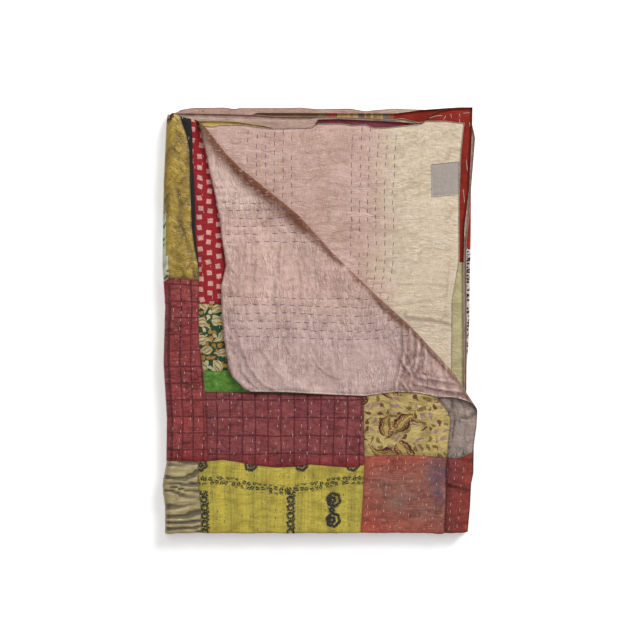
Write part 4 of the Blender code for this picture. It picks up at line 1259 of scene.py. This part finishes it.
def sew(x, y, front, lengths, lean, radius):
    """Stitches with their middles at these flat places, along the sheet, that lean by so much."""
    along = y[:, None] + STATIONS * lengths[:, None]
    across = x[:, None] + STATIONS * (lengths * lean)[:, None]
    spots, normals, _ = cloth_face(across.ravel(), along.ravel(), front)
    spots, normals = (part.T.reshape(len(x), len(STATIONS), 3) for part in (spots, normals))
    # The thread bridges the cloth's small dips, so it lies over the chord between its ends as well.
    ends = spots[:, :1] * (0.5 - STATIONS)[None, :, None] + spots[:, -1:] * (0.5 + STATIONS)[None, :, None]
    over = np.maximum(((ends - spots) * normals).sum(axis=2), 0)
    radii = radius[:, None, None]
    spots = spots + normals * (over[..., None] * 0.7 + radii * THREAD_LIFT[None, :, None])
    run = np.gradient(spots, axis=1)
    run /= np.linalg.norm(run, axis=2, keepdims=True)
    beside = np.cross(run, normals)
    turns = (np.arange(THREAD_SIDES) * 2 * pi / THREAD_SIDES)[:, None]
    rings = spots[:, :, None] + radii[..., None] * (
        np.cos(turns) * beside[:, :, None] + np.sin(turns) * normals[:, :, None])
    last = (len(STATIONS) - 1) * THREAD_SIDES
    around = [(k, (k + 1) % THREAD_SIDES) for k in range(THREAD_SIDES)]
    one = [(i + a, i + a + THREAD_SIDES, i + b + THREAD_SIDES, i + b)
           for i in range(0, last, THREAD_SIDES) for a, b in around]
    one += [tuple(range(THREAD_SIDES)), tuple(range(last + THREAD_SIDES - 1, last - 1, -1))]
    per = last + THREAD_SIDES
    return rings.reshape(-1, 3), [tuple(n * per + v for v in face) for n in range(len(x)) for face in one]


def stitch_places():
    """Where every stitch in sight is: its flat place, side, length, lean, radius and whether it is violet."""
    choice = np.random.default_rng(12)
    label = from_board(LABEL_CORNERS).mean(axis=0)
    found = []
    for front, number in [(front, number) for front in (True, False) for number in range(ROWS)]:
        violet = number in VIOLET_ROWS and not front
        step, start = (FRONT_STEP, 0.004) if front else (BACK_STEP, -PANEL_LENGTH)
        y = np.arange(start + choice.uniform(0, step), PANEL_LENGTH, step)
        y += choice.normal(0, 0.0011, len(y))
        row_start, row_pitch = row_lines(y)
        x = 0.0013 * random_heights(y, y * 0 + number, 45, 1, 61) - row_start - row_pitch * number
        x += choice.normal(0, 0.0004, len(x))
        across, along, _ = lay(x, y)
        past = past_crease(across, along)
        top = on_top(x, y)
        if front:
            keep = top & (past < -0.008) & (covered(across, along) < 0.3)
            keep &= across > -PANEL_WIDTH + CLEAR_OF_FOLD
            keep &= distance_to(SEAMS, across, along) > CLEAR_OF_SEAM
        else:
            keep = top & (along < table_at(MARGIN_LINE, across) - CLEAR_OF_HEM) | ~top & (x > -PANEL_WIDTH)
            off_label = np.abs([across - label[0], along - label[1]]).T > CLEAR_OF_LABEL
            keep &= (past > 0.002) & (top | off_label.any(axis=1))
        keep &= across < table_at(FREE_TOP, along) - CLEAR_OF_SEAM
        x, y = x[keep], y[keep]
        if not len(x):
            continue
        names = [CLOTHS[n] for n in (front_cloth if front else back_cloth)(x, y)]
        otherwise = SHOWING_FRONT if front else SHOWING_VIOLET if violet else SHOWING_BACK
        chosen = choice.uniform(size=len(x)) < np.array([SHOWING.get(name, otherwise) for name in names])
        for n in np.flatnonzero(chosen):
            length = max(choice.normal(0.0104 if violet else 0.0052, 0.0009), 0.003)
            dark = violet or front and names[n] == "yellow_block_print"
            found.append((x[n], y[n], front, length, choice.normal(0, 0.05), COARSE if dark else FINE, dark))
    return found


# Long loose stitches near the top edge and the right edge: the layer, and both ends on the board.
LOOSE_STITCHES = (
    (3, (429, 117), (443, 114.6)), (3, (446, 114.5), (443.5, 119)), (3, (451, 112.5), (451.6, 117)),
    (3, (459.5, 112), (459.9, 116)), (3, (459.6, 118), (460, 121)), (3, (463, 112), (470, 111.4)),
    (3, (469.6, 121), (470.3, 125)), (3, (466.4, 158), (467.6, 170)), (3, (463.4, 188), (464.8, 202)),
    (3, (465, 226), (464.6, 236)), (4, (196, 117.4), (214, 118.2)), (2, (273, 138.4), (285, 139.2)),
    (2, (238, 136.6), (247, 136.9)), (2, (305, 150), (316, 150.6)), (2, (268, 163), (281, 163.4)),
)


def flat_place(layer, across, along):
    """The flat places of the second, third or fourth layer that lie here."""
    turned_x, turned_y = (1 if layer == 2 else -1), (1 if layer == 4 else -1)
    x = turned_x * across + (0 if layer == 2 else SHEET_LEFT_X)
    y = turned_y * along - (0 if layer == 4 else BOTTOM_ARC)
    for _ in range(6):
        lain_x, lain_y, _ = lay(x, y)
        x, y = x + turned_x * (across - lain_x), y + turned_y * (along - lain_y)
    return x, y


def thread_look(name, light, dark):
    """Cotton thread: matt, twisted every 1.5 mm, a little dirty."""
    look, add = start_look(name)
    spot = add("TexCoord", output=3)
    twist = add("TexNoise", spot, Scale=700, Detail=2)
    soil_and_shade = add("TexNoise", spot, Scale=40, Detail=3)
    shade = add("MapRange", add("Math MULTIPLY", twist, soil_and_shade), 0.15, 0.4, 0, 1)
    return finish_look(look, Base_Color=add("MixRGB", shade, dark, light), Roughness=0.8, Sheen_Weight=0.3,
                       Normal=add("Bump", Strength=0.5, Distance=0.0003, Height=twist))


stitches = stitch_places()
for layer, *ends in LOOSE_STITCHES:
    x, y = flat_place(layer, *from_board(ends).T)
    length = y[1] - y[0]
    stitches.append((x.mean(), y.mean(), layer == 3, length, (x[1] - x[0]) / length, LOOSE, False))
for thread_colour, violet, light, dark in (("white", False, "e2d6cb", "b5a79b"),
                                           ("violet", True, "5d5273", "3d3453")):
    parts, faces, count = [], [], 0
    for front in (True, False):
        chosen = [stitch for stitch in stitches if stitch[6] == violet and stitch[2] == front]
        if chosen:
            x, y, _, lengths, lean, radius, _ = (np.array(column, float) for column in zip(*chosen))
            rings, new_faces = sew(x, y, front, lengths, lean, radius)
            parts.append(rings)
            faces += [tuple(v + count for v in face) for face in new_faces]
            count += len(rings)
    thread = make_piece(thread_colour + "_running_stitches", np.concatenate(parts), faces)
    thread.data.materials.append(thread_look(thread_colour + "_thread", light, dark))
    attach(thread, "root")

# ---- The label --------------------------------------------------------------------------------
# A bare woven tape label, 50 by 59 mm with its two ends turned in, sewn flat on the back of the second
# layer near its free edge.

LABEL_WIDE, LABEL_TALL, LABEL_THICK = 0.050, 0.059, 0.0007
LABEL_BACK, LABEL_FRONT = 0.0002, 0.0003  # how far above the quilt its back and its thin edge lie
CELLS_WIDE, CELLS_TALL = 18, 22
END_HEM = 0.004  # how wide the turned-in ends are

u, v = (part.ravel() for part in np.meshgrid(*(np.linspace(0, 1, n + 1) for n in (CELLS_WIDE, CELLS_TALL)),
                                             indexing="ij"))
spot = sum(corner[:, None] * share for corner, share in zip(
    from_board(LABEL_CORNERS), ((1 - u) * (1 - v), u * (1 - v), u * v, (1 - u) * v)))
base, normal, _ = cloth_face(*flat_place(2, *spot), False)
from_end = np.minimum(v, 1 - v) * LABEL_TALL
rim = np.minimum(np.minimum(u, 1 - u) * LABEL_WIDE, from_end)
puff = 0.00035 * random_heights(*spot, 18, 16, 81) + 0.0005 * rise(rim, 0, 0.010) + 0.00025 * bell(
    from_end - END_HEM, 0.003)
thick = LABEL_THICK * (0.35 + 0.65 * rise(rim, -0.0005, 0.0012))
upper = base + normal * (LABEL_FRONT + thick + np.maximum(puff, 0))
lower = base + normal * LABEL_BACK
number = np.arange((CELLS_WIDE + 1) * (CELLS_TALL + 1)).reshape(CELLS_WIDE + 1, CELLS_TALL + 1)
faces = []
for i in range(CELLS_WIDE):
    for j in range(CELLS_TALL):
        ring = (number[i, j], number[i, j + 1], number[i + 1, j + 1], number[i + 1, j])
        faces += [ring, tuple(v + number.size for v in ring[::-1])]
edge = [number[at] for at in walk_round(0, CELLS_WIDE, 0, CELLS_TALL)]
for a, b in zip(edge, edge[1:] + edge[:1]):
    faces.append((b, a, a + number.size, b + number.size))
label = make_piece("woven_label", np.concatenate([upper.T, lower.T]), faces)
add_map(label, "Cloth", np.tile((u * LABEL_WIDE, v * LABEL_TALL), 2).T[corners_of(label)])


def tape(add, place, across, along, light, dark):
    """A fine even rib every 1.2 mm."""
    ribs = add("Math SINE", add("Math MULTIPLY", along, 2 * pi / 1.2))
    fleck = add("TexNoise", place, Scale=0.9, Detail=3)
    mixed = add("MapRange", add("Math MULTIPLY_ADD", ribs, 0.08, fleck), 0.3, 0.7, 0, 1)
    return add("MixRGB", mixed, light, dark)


# Grey polyester tape: ribbed, with a dull gloss.
label.data.materials.append(woven("woven_tape", tape, "978d84", "aea39a", rough=0.55, sheen=0.1, thread=0.6,
                                  slub=0.03, crease=0.1, fade=0.05, rib=1.2))
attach(label, "root")
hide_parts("label")

# ---- The floor, the light and the camera --------------------------------------------------------
# The quilt lies on a wide pale floor, in a bright room. A large soft light at the upper right shades its
# folds, and a weak one from above fills them. The camera looks straight down.

FLOOR = 4.0
floor = make_piece("floor", [(-FLOOR, -FLOOR, 0), (FLOOR, -FLOOR, 0), (FLOOR, FLOOR, 0), (-FLOOR, FLOOR, 0)],
                   [(0, 1, 2, 3)])
# A white sweep lit from below as well, so the quilt throws only a faint shadow.
sweep, _ = start_look("pale_floor")
floor.data.materials.append(finish_look(sweep, Base_Color=(0.93, 0.93, 0.93, 1), Roughness=0.9,
                                        Emission_Color=(1, 1, 1, 1), Emission_Strength=0.3))

# Square soft boxes that face the quilt: their places, sizes and powers.
for name, spot, size, power in (("key_light", (3.4, 4.2, 3.4), 3.0, 430),
                                ("fill_light", (-0.6, 1.8, 5.0), 2.4, 46)):
    lamp = bpy.data.lights.new(name, "AREA")
    lamp.shape, lamp.size, lamp.energy = "SQUARE", size, power
    box = bpy.data.objects.new(name, lamp)
    box.location = spot
    box.rotation_mode = "QUATERNION"
    box.rotation_quaternion = (-Vector(spot)).to_track_quat("-Z", "Y")
    bpy.context.scene.collection.objects.link(box)
room = bpy.data.worlds.new("bright_room")
bpy.context.scene.world = room
room.use_nodes = True
connect(room.node_tree, room.node_tree.nodes["Background"], {"Color": (1, 1, 1, 1), "Strength": 0.37})

CAMERA = (0.0004, -0.0001, 4.0)
VIEW_WIDTH, VIEW_LEVEL = 1.152, 0.025  # the view is this wide at the level of the quilt's top
SENSOR = 36
camera_data = bpy.data.cameras.new("camera")
camera_data.sensor_width = SENSOR
camera_data.lens = SENSOR * (CAMERA[2] - VIEW_LEVEL) / VIEW_WIDTH
camera = bpy.data.objects.new("camera", camera_data)
camera.location = CAMERA
bpy.context.scene.collection.objects.link(camera)
bpy.context.scene.camera = camera
bpy.context.scene.view_settings.view_transform = "Standard"
